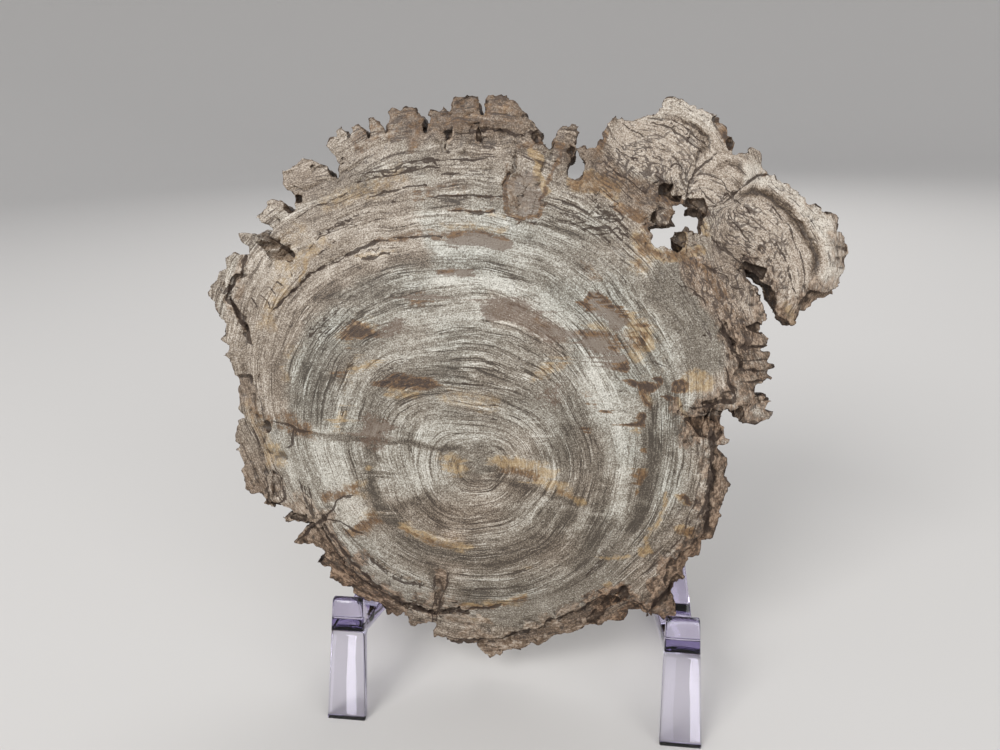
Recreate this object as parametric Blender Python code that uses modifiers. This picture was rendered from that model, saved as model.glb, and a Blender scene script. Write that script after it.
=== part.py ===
"""A slice of petrified wood leaning on two clear moulded stand brackets.

The slice is drawn on its own sawn face: x runs to the right, y up the face and z out of the
face, in millimetres from the pith, the centre of the growth rings. It is then leaned back and
lifted to its place on the brackets. World units are metres, +Z is up, and the origin is on the
floor under the middle of the whole object.
"""

import math

import bmesh
import bpy
from mathutils import Matrix, Vector, noise

MM = 0.001
WELD = 0.00001
STONE_COLOUR = (0.56, 0.52, 0.46)
BRACKET_COLOUR = (0.9, 0.88, 0.98)

# Slice: size and place. FACE_MM is the real length of one drawn millimetre of the face
FACE_MM = 0.99 * MM
THICKNESS = 12.0
LEAN = math.radians(16.0)
PITH = (-9.9, -6.3, 92.2)

# Rough rim: rows of points through the thickness, and how far the bark stands in and out
WALL_ROWS = 4
BARK_SWELL = 1.1
BARK_GRAIN = 0.7
BARK_SIZE = 9.0
GRAIN_SIZE = 2.6
FACE_EDGE_SHARE = 0.12

# Cuts in the face: how far a crevice's cutter stands above it, a crevice's share of width and
# depth at its ends, and how rough a pit is
CUT_ABOVE = 1.0
CREVICE_END = 0.45
PIT_ROUGHNESS = 0.22
PIT_LUMPS = 1.7

# Brackets: one side profile, drawn in the plane of Y and Z from the front of the foot
BRACKET_X = {"stand_bracket_left": -66.3, "stand_bracket_right": 74.0}
BRACKET_FRONT_Y = -55.0
FOOT_WIDTH = 16.8
LIP_WIDTH = 13.4
REST_TOP_WIDTH = 4.4
LEG_SLOPE = 0.353
FOOT_THICKNESS = 4.0
LIP_TOP_Z = 48.8
LIP_TOP_THICKNESS = 3.4
LIP_BACK_Y = 18.4
SEAT_FRONT_Z = 38.0
ARM_THICKNESS = 5.2
REST_TOP_Z = 64.0
REST_TOP_THICKNESS = 2.6
REST_THICKNESS = 6.0
REAR_LEG_DEPTH = 8.8
REAR_FOOT_Y = 110.0
REAR_FOOT_LENGTH = 10.0
REAR_FOOT_HEIGHT = 3.6
CORNER = 1.6
CLEARANCE = 0.4
EDGE_ROUND = 0.6

# The outline of the sawn face, clockwise from the lower end of the crown, one stretch at a time
CROWN = [
    (-65.2, 131.5), (-64.8, 136.5), (-67.5, 141.0), (-70.5, 145.3), (-69.0, 148.5), (-66.5, 150.0),
    (-65.8, 152.5), (-64.0, 153.2), (-62.3, 151.8), (-60.3, 148.4), (-57.6, 143.4), (-59.2, 150.2),
    (-59.3, 152.8), (-58.0, 154.0), (-55.5, 153.8), (-53.0, 152.2), (-51.9, 150.8), (-50.9, 147.6),
    (-50.4, 150.6), (-51.9, 154.2), (-52.2, 156.4), (-50.4, 157.0), (-48.3, 155.9), (-46.2, 152.4),
    (-44.3, 149.2), (-45.4, 143.6), (-43.6, 149.0), (-44.0, 152.8), (-42.7, 154.8), (-43.5, 158.4),
    (-42.4, 160.0), (-38.2, 160.2), (-36.2, 161.4), (-34.0, 162.0), (-31.5, 161.0), (-29.5, 160.2),
    (-27.8, 155.8), (-26.9, 150.2), (-26.3, 145.7), (-25.6, 151.5), (-25.6, 157.8), (-24.0, 160.3),
    (-21.5, 160.6), (-20.1, 159.8), (-19.5, 157.2), (-19.0, 160.4), (-17.5, 160.5), (-16.0, 159.0),
    (-14.6, 156.6), (-15.5, 160.6), (-15.0, 162.4), (-13.0, 164.0), (-10.0, 163.4), (-7.0, 164.4),
    (-4.6, 164.2), (-3.6, 160.4), (-2.9, 153.9), (-2.0, 156.5), (-1.6, 162.0), (0.0, 163.7),
    (4.0, 163.6), (5.6, 164.6), (7.6, 164.9), (9.4, 164.0), (10.3, 162.0), (12.6, 160.0),
    (14.4, 158.3), (16.6, 156.4), (18.0, 154.6), (20.4, 153.6), (21.7, 151.9), (23.0, 150.2),
    (23.4, 147.6), (24.2, 144.6), (24.8, 142.2),
]
FINGER = [
    (26.0, 142.6), (27.5, 145.4), (28.9, 148.2), (31.0, 150.2), (33.2, 151.6), (36.4, 152.0),
    (38.3, 151.0), (37.4, 148.4), (37.5, 144.4), (38.2, 141.2), (37.6, 138.2), (34.8, 136.0),
    (33.6, 133.2), (33.4, 130.0), (38.0, 130.2), (40.2, 132.6), (41.0, 135.6), (39.6, 137.4),
    (39.0, 139.8), (39.6, 142.0), (41.6, 143.6), (43.0, 141.8), (45.8, 141.4),
]
RIGHT_LOBE = [
    (46.0, 144.0), (48.0, 147.2), (48.8, 149.8), (50.6, 153.0), (52.5, 154.9), (54.6, 155.2),
    (57.5, 153.6), (61.0, 152.6), (63.6, 154.4), (66.2, 155.4), (69.0, 155.9), (71.2, 157.6),
    (72.8, 159.5), (74.5, 161.4), (77.0, 161.5), (80.0, 160.9), (82.0, 159.5), (84.2, 158.0),
    (87.0, 157.0), (90.6, 156.4), (92.6, 155.0), (94.6, 154.4), (96.5, 152.8), (96.2, 150.6),
    (98.4, 149.0), (98.0, 146.8), (100.2, 145.4), (101.5, 143.0), (101.0, 139.4), (104.6, 138.2),
    (106.6, 139.6), (108.6, 140.8), (110.6, 139.4), (112.4, 136.8), (113.8, 133.4), (116.2, 130.3),
    (120.0, 128.0), (123.2, 125.8), (126.2, 123.5), (129.5, 121.0), (132.0, 118.2), (135.2, 116.8),
    (139.0, 115.6), (141.5, 114.0), (142.7, 111.0), (143.0, 108.0), (145.0, 105.4), (146.5, 101.6),
    (147.0, 98.4), (146.4, 95.4), (145.4, 91.4), (145.0, 88.0), (144.0, 84.4), (143.2, 81.8),
    (139.8, 80.4), (136.0, 78.4), (132.6, 75.7), (129.6, 74.6), (129.3, 71.6), (128.4, 69.0),
    (125.0, 68.5), (122.2, 71.8), (119.6, 76.4), (117.6, 81.0), (116.4, 84.4), (113.2, 87.4),
    (109.2, 90.8),
]
FINS = [
    (110.4, 87.0), (112.6, 85.2), (114.0, 82.6), (115.2, 79.0), (116.6, 76.0), (117.2, 73.4),
    (116.2, 71.2), (115.2, 69.0), (114.6, 66.3), (118.0, 65.6), (118.5, 63.0), (118.3, 60.9),
    (116.8, 60.0), (110.4, 59.6), (117.2, 58.5), (118.4, 57.4), (118.7, 55.0), (120.2, 53.6),
    (120.3, 51.4), (118.6, 50.2), (114.0, 49.9), (119.8, 48.2), (119.8, 46.6), (117.0, 45.3),
    (114.0, 44.4), (113.6, 41.5), (118.2, 41.2), (117.2, 39.2), (120.2, 37.8), (117.8, 35.6),
    (118.0, 33.9), (120.8, 33.2), (120.2, 30.4), (117.4, 28.8), (112.0, 28.5), (107.6, 28.8),
    (105.3, 30.6), (104.0, 32.8),
]
RIGHT_RIM = [
    (101.2, 32.5), (100.0, 30.6), (99.3, 27.6), (100.4, 24.6), (101.2, 22.4), (103.7, 20.6),
    (102.9, 19.4), (100.6, 18.8), (100.6, 16.8), (101.6, 14.2), (104.4, 13.0), (104.0, 9.6),
    (103.6, 4.2), (105.6, 2.6), (104.2, 0.2), (103.2, -3.0), (103.4, -5.6), (101.5, -10.4),
    (102.2, -12.5), (100.4, -14.2), (99.5, -17.0), (99.8, -19.4), (98.5, -23.2), (94.2, -25.0),
    (94.6, -28.0), (93.6, -29.9), (89.6, -31.0), (89.8, -32.8), (88.2, -33.8), (87.4, -36.0),
    (86.4, -37.2), (87.5, -40.8), (84.0, -43.8), (82.5, -46.6), (83.4, -49.8), (84.6, -52.0),
    (84.4, -57.4), (82.2, -60.2), (79.2, -60.4), (77.4, -57.8), (73.6, -58.5), (71.6, -56.8),
]
LOWER_LEDGE = [
    (69.2, -55.8), (64.0, -57.6), (63.4, -61.4), (60.0, -62.8), (56.0, -63.4), (52.0, -64.6),
    (46.0, -66.6), (43.0, -68.6), (39.0, -70.0), (31.0, -71.2), (29.0, -73.4), (24.0, -76.2),
    (20.0, -77.6), (15.0, -79.4), (11.0, -81.0), (9.2, -80.2), (7.0, -83.0), (4.6, -81.4),
    (1.0, -84.8), (-1.6, -81.6), (-3.2, -80.2), (-4.6, -77.4), (-5.2, -75.6),
]
LOWER_LEFT_RIM = [
    (-8.0, -75.2), (-13.0, -76.1), (-16.0, -75.8), (-19.0, -74.6), (-21.0, -73.4), (-23.8, -74.6),
    (-23.4, -71.6), (-22.4, -66.6), (-25.0, -68.4), (-28.0, -68.0), (-30.6, -69.0), (-34.6, -69.4),
    (-35.3, -65.2), (-38.0, -65.0), (-41.0, -66.1), (-43.0, -64.6), (-45.4, -65.4), (-46.8, -65.2),
    (-48.0, -62.4), (-50.2, -60.2), (-53.6, -60.4), (-57.0, -59.4), (-60.0, -58.2), (-62.4, -56.4),
    (-62.6, -54.4), (-65.0, -54.0), (-67.6, -53.3), (-70.2, -51.2), (-73.4, -50.3), (-71.8, -49.2),
    (-73.0, -47.8), (-72.4, -46.2), (-75.0, -44.8), (-79.4, -42.8), (-76.4, -40.6), (-75.4, -38.6),
    (-76.4, -36.0), (-81.0, -35.0), (-84.0, -34.7), (-87.6, -34.0), (-90.7, -33.8), (-88.6, -31.8),
    (-88.8, -30.2), (-86.4, -28.8), (-85.0, -26.6), (-80.2, -24.4), (-76.4, -22.4),
]
LEFT_BARK = [
    (-80.4, -22.6), (-85.0, -23.4), (-90.0, -24.0), (-93.0, -23.7), (-94.6, -21.6), (-92.4, -20.3),
    (-89.2, -18.8), (-91.4, -17.0), (-95.0, -17.2), (-98.6, -17.0), (-102.6, -15.4), (-103.6, -12.8),
    (-107.0, -11.6), (-110.6, -11.5), (-112.4, -9.6), (-113.2, -6.6), (-114.0, -4.4), (-115.2, -1.4),
    (-113.2, 1.4), (-114.2, 4.4), (-114.6, 7.6), (-117.2, 8.4), (-115.5, 10.4), (-118.2, 13.8),
    (-117.4, 16.6), (-116.4, 20.2), (-115.2, 23.6), (-112.4, 24.6), (-115.0, 26.4), (-114.8, 31.0),
    (-114.0, 34.6), (-115.0, 36.2), (-114.2, 40.0), (-114.6, 44.0), (-117.2, 45.4), (-117.2, 47.6),
    (-118.6, 50.2), (-120.2, 52.8), (-119.0, 54.8), (-116.2, 56.4), (-121.2, 58.4), (-121.8, 60.2),
    (-120.2, 63.4), (-119.6, 66.0), (-121.6, 71.0), (-123.6, 74.6), (-124.8, 77.6), (-127.0, 80.6),
    (-126.4, 83.6), (-124.4, 86.4), (-123.6, 89.0), (-121.4, 91.6), (-118.6, 93.6), (-117.4, 96.4),
    (-115.4, 97.4), (-113.8, 99.8), (-111.4, 98.2), (-109.8, 97.2), (-108.6, 99.4), (-109.4, 102.2),
    (-108.8, 105.6), (-106.8, 108.0), (-103.6, 109.4), (-101.0, 108.8), (-97.4, 107.2),
]
LEFT_LUMPS = [
    (-96.2, 109.6), (-98.6, 111.5), (-102.4, 114.4), (-102.0, 116.6), (-100.0, 118.2), (-97.6, 119.6),
    (-97.4, 121.6), (-94.6, 122.3), (-91.5, 121.0), (-89.5, 119.4), (-87.0, 117.3), (-84.6, 115.8),
    (-85.6, 120.4), (-86.2, 124.0), (-89.6, 126.4), (-91.0, 128.6), (-90.6, 131.0), (-91.0, 133.0),
    (-90.0, 134.6), (-87.2, 136.0), (-85.5, 138.0), (-83.5, 140.2), (-80.0, 140.5), (-77.5, 140.0),
    (-74.0, 138.4), (-71.0, 136.0), (-68.0, 132.8), (-66.2, 130.2),
]
OUTLINE = (
    CROWN + FINGER + RIGHT_LOBE + FINS + RIGHT_RIM + LOWER_LEDGE + LOWER_LEFT_RIM + LEFT_BARK
    + LEFT_LUMPS
)

# The one hole that goes right through, beside the right lobe
HOLE = [
    (69.4, 107.6), (72.2, 110.2), (75.2, 111.6), (77.6, 114.4), (79.2, 116.0), (77.4, 118.8),
    (81.0, 120.2), (82.8, 116.6), (86.2, 115.4), (89.8, 114.6), (88.0, 111.4), (89.2, 108.0),
    (92.0, 105.8), (88.0, 107.6), (84.2, 109.4), (80.2, 108.2), (79.2, 104.6), (80.4, 100.6),
    (77.0, 99.8), (73.6, 101.4), (70.2, 101.0), (69.6, 104.0),
]

# Rim stretches broken away behind the sawn face: (depth below the face, inner line, outer reach)
LEDGES = {
    "lower_ledge": (
        4.2,
        [(-6.0, -75.6), (0.0, -74.8), (8.0, -73.2), (15.0, -70.6), (22.0, -67.6), (31.0, -62.4),
         (40.0, -59.0), (46.0, -57.0), (52.0, -50.8), (57.0, -50.6), (61.0, -52.2), (66.0, -53.2),
         (71.0, -57.4)],
        [(74.0, -62.0), (60.0, -72.0), (30.0, -88.0), (0.0, -92.0), (-10.0, -84.0)],
    ),
    "lower_left_ledge": (
        2.6,
        [(-36.0, -60.4), (-43.0, -57.2), (-50.0, -53.2), (-56.0, -50.4), (-62.0, -45.0),
         (-67.0, -40.4), (-70.0, -34.6), (-74.4, -24.6)],
        [(-92.0, -27.0), (-96.0, -38.0), (-80.0, -60.0), (-60.0, -72.0), (-38.0, -74.0)],
    ),
    "left_ledge": (
        2.2,
        [(-102.6, -15.6), (-102.4, -6.0), (-102.2, 4.0), (-102.0, 14.0), (-103.2, 22.0),
         (-105.4, 30.0), (-106.0, 38.0), (-107.6, 44.0)],
        [(-124.0, 46.0), (-124.0, 0.0), (-116.0, -18.0), (-104.0, -20.0)],
    ),
    "right_ledge": (
        2.8,
        [(98.0, 19.0), (98.4, 10.0), (97.6, 2.0), (96.6, -6.0), (96.0, -14.0), (95.4, -21.0),
         (88.6, -26.4), (82.4, -34.4), (78.4, -41.0), (80.0, -44.6), (76.4, -51.0), (72.4, -57.0)],
        [(78.0, -64.0), (96.0, -50.0), (112.0, -10.0), (112.0, 18.0)],
    ),
    "right_lobe_step": (
        3.4,
        [(145.6, 84.2), (140.0, 83.2), (134.0, 82.4), (130.4, 80.2), (129.4, 76.4), (130.6, 73.6)],
        [(140.0, 74.0), (150.0, 78.0)],
    ),
}

# Crevices in the sawn face: (width at the face, depth, points along the bottom)
CREVICES = {
    "below_crown": (
        1.5, 3.0,
        [(-12.0, 154.6), (-5.0, 151.0), (1.0, 150.4), (6.0, 149.9), (11.0, 147.6)],
    ),
    "ring_split_left": (
        1.3, 2.2,
        [(-96.5, 72.8), (-90.0, 79.4), (-82.0, 86.6), (-73.0, 93.4), (-63.0, 98.0), (-54.0, 101.2)],
    ),
    "lobe_crack": (1.2, 3.4, [(95.0, 118.2), (101.0, 122.0), (106.0, 126.6), (115.8, 131.8)]),
    "lobe_groove_inner": (
        2.6, 1.6,
        [(84.6, 129.0), (88.0, 139.0), (92.0, 144.0), (86.0, 149.6), (76.0, 154.0)],
    ),
    "lobe_groove_outer": (
        3.4, 1.8,
        [(104.0, 121.6), (109.0, 123.8), (117.0, 120.0), (126.0, 112.4), (132.6, 103.6),
         (135.4, 95.0), (134.6, 88.0)],
    ),
    "left_corner": (
        2.4, 3.2,
        [(-107.8, 92.6), (-113.0, 87.6), (-118.0, 79.6), (-113.4, 74.0), (-109.0, 64.6), (-112.0, 55.6)],
    ),
    "left_bark_line": (
        1.9, 4.2,
        [(-105.4, 31.0), (-103.4, 21.0), (-102.2, 10.0), (-102.4, -4.0), (-101.2, -13.6),
         (-95.0, -16.4), (-89.6, -17.6)],
    ),
    "lower_left_line": (
        1.7, 4.4,
        [(-74.2, -23.0), (-70.4, -33.6), (-66.6, -40.4), (-59.0, -47.6), (-50.0, -53.0),
         (-40.0, -58.0), (-30.0, -60.6), (-22.0, -62.4), (-12.0, -60.6), (2.0, -58.6)],
    ),
    "lower_ledge_line": (
        2.2, 6.6,
        [(-5.0, -75.2), (6.0, -73.6), (15.0, -70.4), (24.0, -66.6), (34.0, -61.2), (46.0, -56.6),
         (53.0, -50.6), (60.0, -51.4)],
    ),
    "right_bark_line": (
        2.2, 4.6,
        [(97.4, 17.0), (98.4, 8.0), (97.0, -2.0), (96.2, -12.0), (95.4, -20.0), (88.0, -27.0),
         (82.0, -35.0), (78.6, -41.0)],
    ),
    "right_lower_crack": (1.5, 3.6, [(72.0, -57.4), (77.0, -50.0), (81.6, -44.6), (84.0, -38.6)]),
    "fin_line": (
        1.6, 3.2,
        [(95.4, 75.0), (99.6, 69.0), (104.0, 61.0), (107.6, 53.0), (103.4, 46.0), (105.0, 37.0)],
    ),
    "hole_to_fins": (
        1.4, 2.6,
        [(93.0, 105.0), (99.0, 100.4), (103.6, 96.0), (97.4, 92.6), (99.8, 88.6)],
    ),
    "left_spike_split": (1.4, 5.0, [(-77.0, -22.4), (-73.6, -19.6), (-69.0, -14.6)]),
    "knot_left": (
        1.8, 2.4,
        [(11.6, 148.0), (12.6, 139.0), (9.4, 131.0), (8.4, 121.0), (12.4, 114.0)],
    ),
    "knot_right": (
        1.6, 2.2,
        [(29.4, 148.4), (27.4, 139.0), (22.4, 130.0), (21.8, 119.0), (24.4, 113.6)],
    ),
}

# Pits and hollows in the sawn face: (x, y, half width, half height, depth)
PITS = [
    (-91.0, 99.0, 5.4, 4.2, 5.0),
    (-97.0, 104.6, 5.0, 2.6, 5.4),
    (-83.6, 122.2, 2.2, 1.9, 4.0),
    (16.4, 122.0, 4.6, 7.6, 3.0),
    (12.4, 127.6, 3.0, 5.2, 2.6),
    (21.8, 147.0, 2.6, 3.4, 3.6),
    (-4.0, 147.4, 2.2, 3.2, 3.2),
    (-15.6, 147.6, 1.9, 2.8, 2.8),
    (35.2, 140.4, 2.4, 2.8, 2.6),
    (99.2, 142.6, 2.6, 2.2, 3.2),
    (94.8, 152.6, 1.8, 1.8, 2.6),
    (76.6, 123.0, 6.2, 2.0, 4.6),
    (87.0, 117.6, 4.6, 2.4, 4.2),
    (73.6, 112.2, 4.4, 1.8, 3.6),
    (82.0, 104.6, 2.2, 4.0, 2.8),
    (111.8, 90.0, 3.4, 2.2, 4.4),
    (118.0, 78.4, 2.2, 5.2, 4.4),
    (112.6, 67.8, 3.0, 1.7, 3.8),
    (91.0, 27.4, 5.2, 6.0, 3.4),
    (106.8, 32.2, 3.0, 2.4, 3.4),
    (-101.4, 20.8, 2.4, 3.2, 3.6),
    (-96.4, -6.0, 3.4, 7.2, 2.2),
    (-96.0, 7.6, 6.2, 3.2, 1.4),
    (-86.0, -20.8, 5.0, 1.6, 3.2),
    (-79.8, -28.0, 4.2, 3.0, 3.0),
    (-20.4, -54.0, 2.4, 9.0, 1.8),
    (82.6, -35.6, 3.6, 4.2, 3.0),
    (65.0, -53.8, 4.6, 1.6, 3.4),
]


def on_slice(x, y, z=0.0):
    """A point drawn on the sawn face, in the slice's own metres."""
    return Vector((x * FACE_MM, y * FACE_MM, z * MM))


def new_collection(name):
    collection = bpy.data.collections.new(name)
    bpy.context.scene.collection.children.link(collection)
    return collection


def plain_material(name, colour, roughness, transmission=0.0, ior=1.5):
    material = bpy.data.materials.new(name)
    material.use_nodes = True
    shader = material.node_tree.nodes["Principled BSDF"]
    shader.inputs["Base Color"].default_value = (*colour, 1.0)
    shader.inputs["Roughness"].default_value = roughness
    shader.inputs["Metallic"].default_value = 0.0
    shader.inputs["Transmission Weight"].default_value = transmission
    shader.inputs["IOR"].default_value = ior
    return material


def extruded_outline(name, loops, thickness, unit, collection):
    """A closed plate with the given loops as its outline and holes, made a mesh."""
    curve = bpy.data.curves.new(name, "CURVE")
    curve.dimensions = "2D"
    curve.fill_mode = "BOTH"
    curve.extrude = thickness * MM / 2
    for loop in loops:
        spline = curve.splines.new("POLY")
        spline.points.add(len(loop) - 1)
        for point, (x, y) in zip(spline.points, loop):
            point.co = (x * unit, y * unit, 0.0, 1.0)
        spline.use_cyclic_u = True
    drawn = bpy.data.objects.new(name + "_outline", curve)
    collection.objects.link(drawn)
    bpy.context.view_layer.update()
    evaluated = drawn.evaluated_get(bpy.context.evaluated_depsgraph_get())
    mesh = bpy.data.meshes.new_from_object(evaluated)
    bpy.data.objects.remove(drawn)
    mesh.name = name
    weld(mesh)
    return linked(name, mesh, collection)


def weld(mesh):
    shape = bmesh.new()
    shape.from_mesh(mesh)
    bmesh.ops.remove_doubles(shape, verts=shape.verts, dist=WELD)
    bmesh.ops.recalc_face_normals(shape, faces=shape.faces)
    shape.to_mesh(mesh)
    shape.free()


def linked(name, mesh, collection):
    made = bpy.data.objects.new(name, mesh)
    collection.objects.link(made)
    return made


def roughen_rim(mesh):
    """Rows of points round the rim, pushed in and out as bark, and less at the sawn faces."""
    shape = bmesh.new()
    shape.from_mesh(mesh)
    through = [edge for edge in shape.edges if abs(edge.verts[0].co.z - edge.verts[1].co.z) > MM]
    bmesh.ops.subdivide_edges(shape, edges=through, cuts=WALL_ROWS, use_grid_fill=True)
    shape.normal_update()
    half = THICKNESS * MM / 2
    moves = {}
    for vert in shape.verts:
        walls = [face for face in vert.link_faces if abs(face.normal.z) < 0.5]
        if not walls:
            continue
        outward = sum((face.normal for face in walls), Vector()).normalized()
        height = vert.co.z / half
        share = max(1 - height * height, FACE_EDGE_SHARE)
        broad = noise.noise(vert.co / (BARK_SIZE * MM)) * BARK_SWELL
        fine = noise.noise(vert.co / (GRAIN_SIZE * MM)) * BARK_GRAIN
        moves[vert] = outward * (broad + fine - BARK_GRAIN / 2) * share * MM
    for vert, move in moves.items():
        vert.co += Vector((move.x, move.y, 0.0))
    shape.to_mesh(mesh)
    shape.free()


def crevice_cutter(name, width, depth, path, collection):
    """A V-shaped trough along the path, open at the face and tapering to nothing at both ends."""
    shape = bmesh.new()
    points = [Vector(point) for point in path]
    rings = []
    last = len(points) - 1
    for index, point in enumerate(points):
        before = points[max(index - 1, 0)]
        after = points[min(index + 1, last)]
        along = (after - before).normalized()
        across = Vector((-along.y, along.x))
        taper = CREVICE_END if index in (0, last) else 1.0
        slope = (depth * taper + CUT_ABOVE) / (depth * taper)
        half = width * taper / 2 * slope
        left = point + across * half
        right = point - across * half
        corners = [(left, CUT_ABOVE), (point, -depth * taper), (right, CUT_ABOVE)]
        rings.append([shape.verts.new(on_slice(p.x, p.y, z)) for p, z in corners])
    for one, other in zip(rings, rings[1:]):
        for side in range(3):
            after = (side + 1) % 3
            shape.faces.new((one[side], one[after], other[after], other[side]))
    shape.faces.new(rings[0])
    shape.faces.new(reversed(rings[-1]))
    bmesh.ops.recalc_face_normals(shape, faces=shape.faces)
    mesh = bpy.data.meshes.new(name)
    shape.to_mesh(mesh)
    shape.free()
    return linked(name, mesh, collection)


def pit_cutter(name, x, y, half_width, half_height, depth, collection):
    """A rough egg sunk into the face."""
    shape = bmesh.new()
    bmesh.ops.create_icosphere(shape, subdivisions=2, radius=1.0)
    for vert in shape.verts:
        rough = 1.0 + PIT_ROUGHNESS * noise.noise(vert.co * PIT_LUMPS + Vector((x, y, 0.0)))
        vert.co = on_slice(
            x + vert.co.x * half_width * rough,
            y + vert.co.y * half_height * rough,
            vert.co.z * depth * rough,
        )
    mesh = bpy.data.meshes.new(name)
    shape.to_mesh(mesh)
    shape.free()
    return linked(name, mesh, collection)


def cut_away(solid, cutter):
    cutter.hide_render = True
    cutter.display_type = "WIRE"
    modifier = solid.modifiers.new(cutter.name, "BOOLEAN")
    modifier.operation = "DIFFERENCE"
    modifier.object = cutter


def place_on_slice(made):
    """Leans the drawing plane back and carries it to the pith's place. The face is at the front."""
    turn = Matrix.Rotation(math.radians(90.0) - LEAN, 4, "X")
    made.matrix_world = Matrix.Translation(Vector(PITH) * MM) @ turn


def build_slice(parts, cutters):
    slab = extruded_outline("petrified_wood_slice", [OUTLINE, HOLE], THICKNESS, FACE_MM, parts)
    roughen_rim(slab.data)
    slab.data.transform(Matrix.Translation(on_slice(0.0, 0.0, -THICKNESS / 2)))
    made = []
    for name, (depth, inner, outer) in LEDGES.items():
        made.append(extruded_outline("cut_" + name, [inner + outer], 2 * depth, FACE_MM, cutters))
    for name, (width, depth, path) in CREVICES.items():
        made.append(crevice_cutter("cut_" + name, width, depth, path, cutters))
    for index, pit in enumerate(PITS):
        made.append(pit_cutter(f"cut_pit_{index + 1}", *pit, cutters))
    place_on_slice(slab)
    for cutter in made:
        place_on_slice(cutter)
        cut_away(slab, cutter)
    slab.data.materials.append(plain_material("sawn_petrified_wood", STONE_COLOUR, 0.5))
    return slab


def seat_z(y):
    """Height of the seat, which falls to the back square to the slice's lean."""
    return SEAT_FRONT_Z - (y - LIP_BACK_Y) * math.tan(LEAN)


def rest_y(z):
    """Front of the back rest: the slice's back face and a small clearance."""
    tangent = math.tan(LEAN)
    face_y = PITH[1] - BRACKET_FRONT_Y - (PITH[2] - z) * tangent
    return face_y + (THICKNESS + CLEARANCE) / math.cos(LEAN)


def seat_back():
    """Where the seat meets the back rest."""
    tangent = math.tan(LEAN)
    y = rest_y(seat_z(0.0)) / (1.0 + tangent * tangent)
    return y, seat_z(y)


def bracket_profile():
    """The side view, from the front of the foot round by the lip, seat, rest and rear leg."""
    corner_y, corner_z = seat_back()
    lip_y = LEG_SLOPE * LIP_TOP_Z
    rest_top_y = rest_y(REST_TOP_Z)
    arm_under_z = seat_z(LIP_BACK_Y) - ARM_THICKNESS
    leg = [(0.0, 0.0), (lip_y - CORNER / 3, LIP_TOP_Z - CORNER), (lip_y + CORNER / 3, LIP_TOP_Z)]
    lip = [(lip_y + LIP_TOP_THICKNESS, LIP_TOP_Z), (LIP_BACK_Y, SEAT_FRONT_Z + CORNER)]
    seat = [(LIP_BACK_Y + CORNER, seat_z(LIP_BACK_Y + CORNER)), (corner_y, corner_z)]
    rest = [
        (rest_top_y, REST_TOP_Z),
        (rest_top_y + REST_TOP_THICKNESS, REST_TOP_Z - CORNER / 2),
        (corner_y + REST_THICKNESS, corner_z + CORNER),
    ]
    rear_foot = [
        (REAR_FOOT_Y, REAR_FOOT_HEIGHT),
        (REAR_FOOT_Y, 0.0),
        (REAR_FOOT_Y - REAR_FOOT_LENGTH, 0.0),
    ]
    underside = [
        (corner_y + ARM_THICKNESS, corner_z - REAR_LEG_DEPTH),
        (LIP_BACK_Y, arm_under_z),
        (LIP_BACK_Y - CORNER, arm_under_z - CORNER),
        (FOOT_THICKNESS, 0.0),
    ]
    return leg + lip + seat + rest + rear_foot + underside


def leg_width(z):
    """Widest at the floor and narrower towards the lip."""
    return FOOT_WIDTH + (LIP_WIDTH - FOOT_WIDTH) * z / LIP_TOP_Z


def bracket_half_width(y, z):
    """The leg's width, but narrowing to the top on the back rest."""
    corner_y, corner_z = seat_back()
    if y < corner_y or z < corner_z:
        return leg_width(z) / 2
    share = (z - corner_z) / (REST_TOP_Z - corner_z)
    return (leg_width(corner_z) + (REST_TOP_WIDTH - leg_width(corner_z)) * share) / 2


def build_bracket(name, x, parts):
    bracket = extruded_outline(name, [bracket_profile()], FOOT_WIDTH, MM, parts)
    for vert in bracket.data.vertices:
        side = math.copysign(1.0, vert.co.z)
        vert.co.z = side * bracket_half_width(vert.co.x / MM, vert.co.y / MM) * MM
    # The drawing plane's x becomes world Y, its y becomes world Z and its z becomes world X
    turn = Matrix(((0, 0, 1, 0), (1, 0, 0, 0), (0, 1, 0, 0), (0, 0, 0, 1)))
    bracket.data.transform(turn)
    bracket.location = Vector((x, BRACKET_FRONT_Y, 0.0)) * MM
    rounding = bracket.modifiers.new("moulded_edges", "BEVEL")
    rounding.width = EDGE_ROUND * MM
    rounding.segments = 2
    rounding.limit_method = "ANGLE"
    rounding.angle_limit = math.radians(35.0)
    clear = plain_material("clear_moulded_plastic", BRACKET_COLOUR, 0.05, transmission=1.0, ior=1.49)
    bracket.data.materials.append(clear)
    return bracket


def main():
    for leftover in list(bpy.data.objects):
        bpy.data.objects.remove(leftover, do_unlink=True)
    parts = new_collection("petrified_wood_slice_on_stand")
    cutters = new_collection("cutters")
    build_slice(parts, cutters)
    for name, x in BRACKET_X.items():
        build_bracket(name, x, parts)


main()
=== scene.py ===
"""The look of a slice of petrified wood that leans on two clear moulded stand brackets.

The slice is worked on in its own face millimetres: x to the right, y up the sawn face and z out
of it, counted from the pith, the centre of the growth rings. The slab lies between z = 0 and
z = -12.
"""

import math

import bmesh
import bpy
import numpy as np
from mathutils import Euler, Matrix, Vector, kdtree


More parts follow.
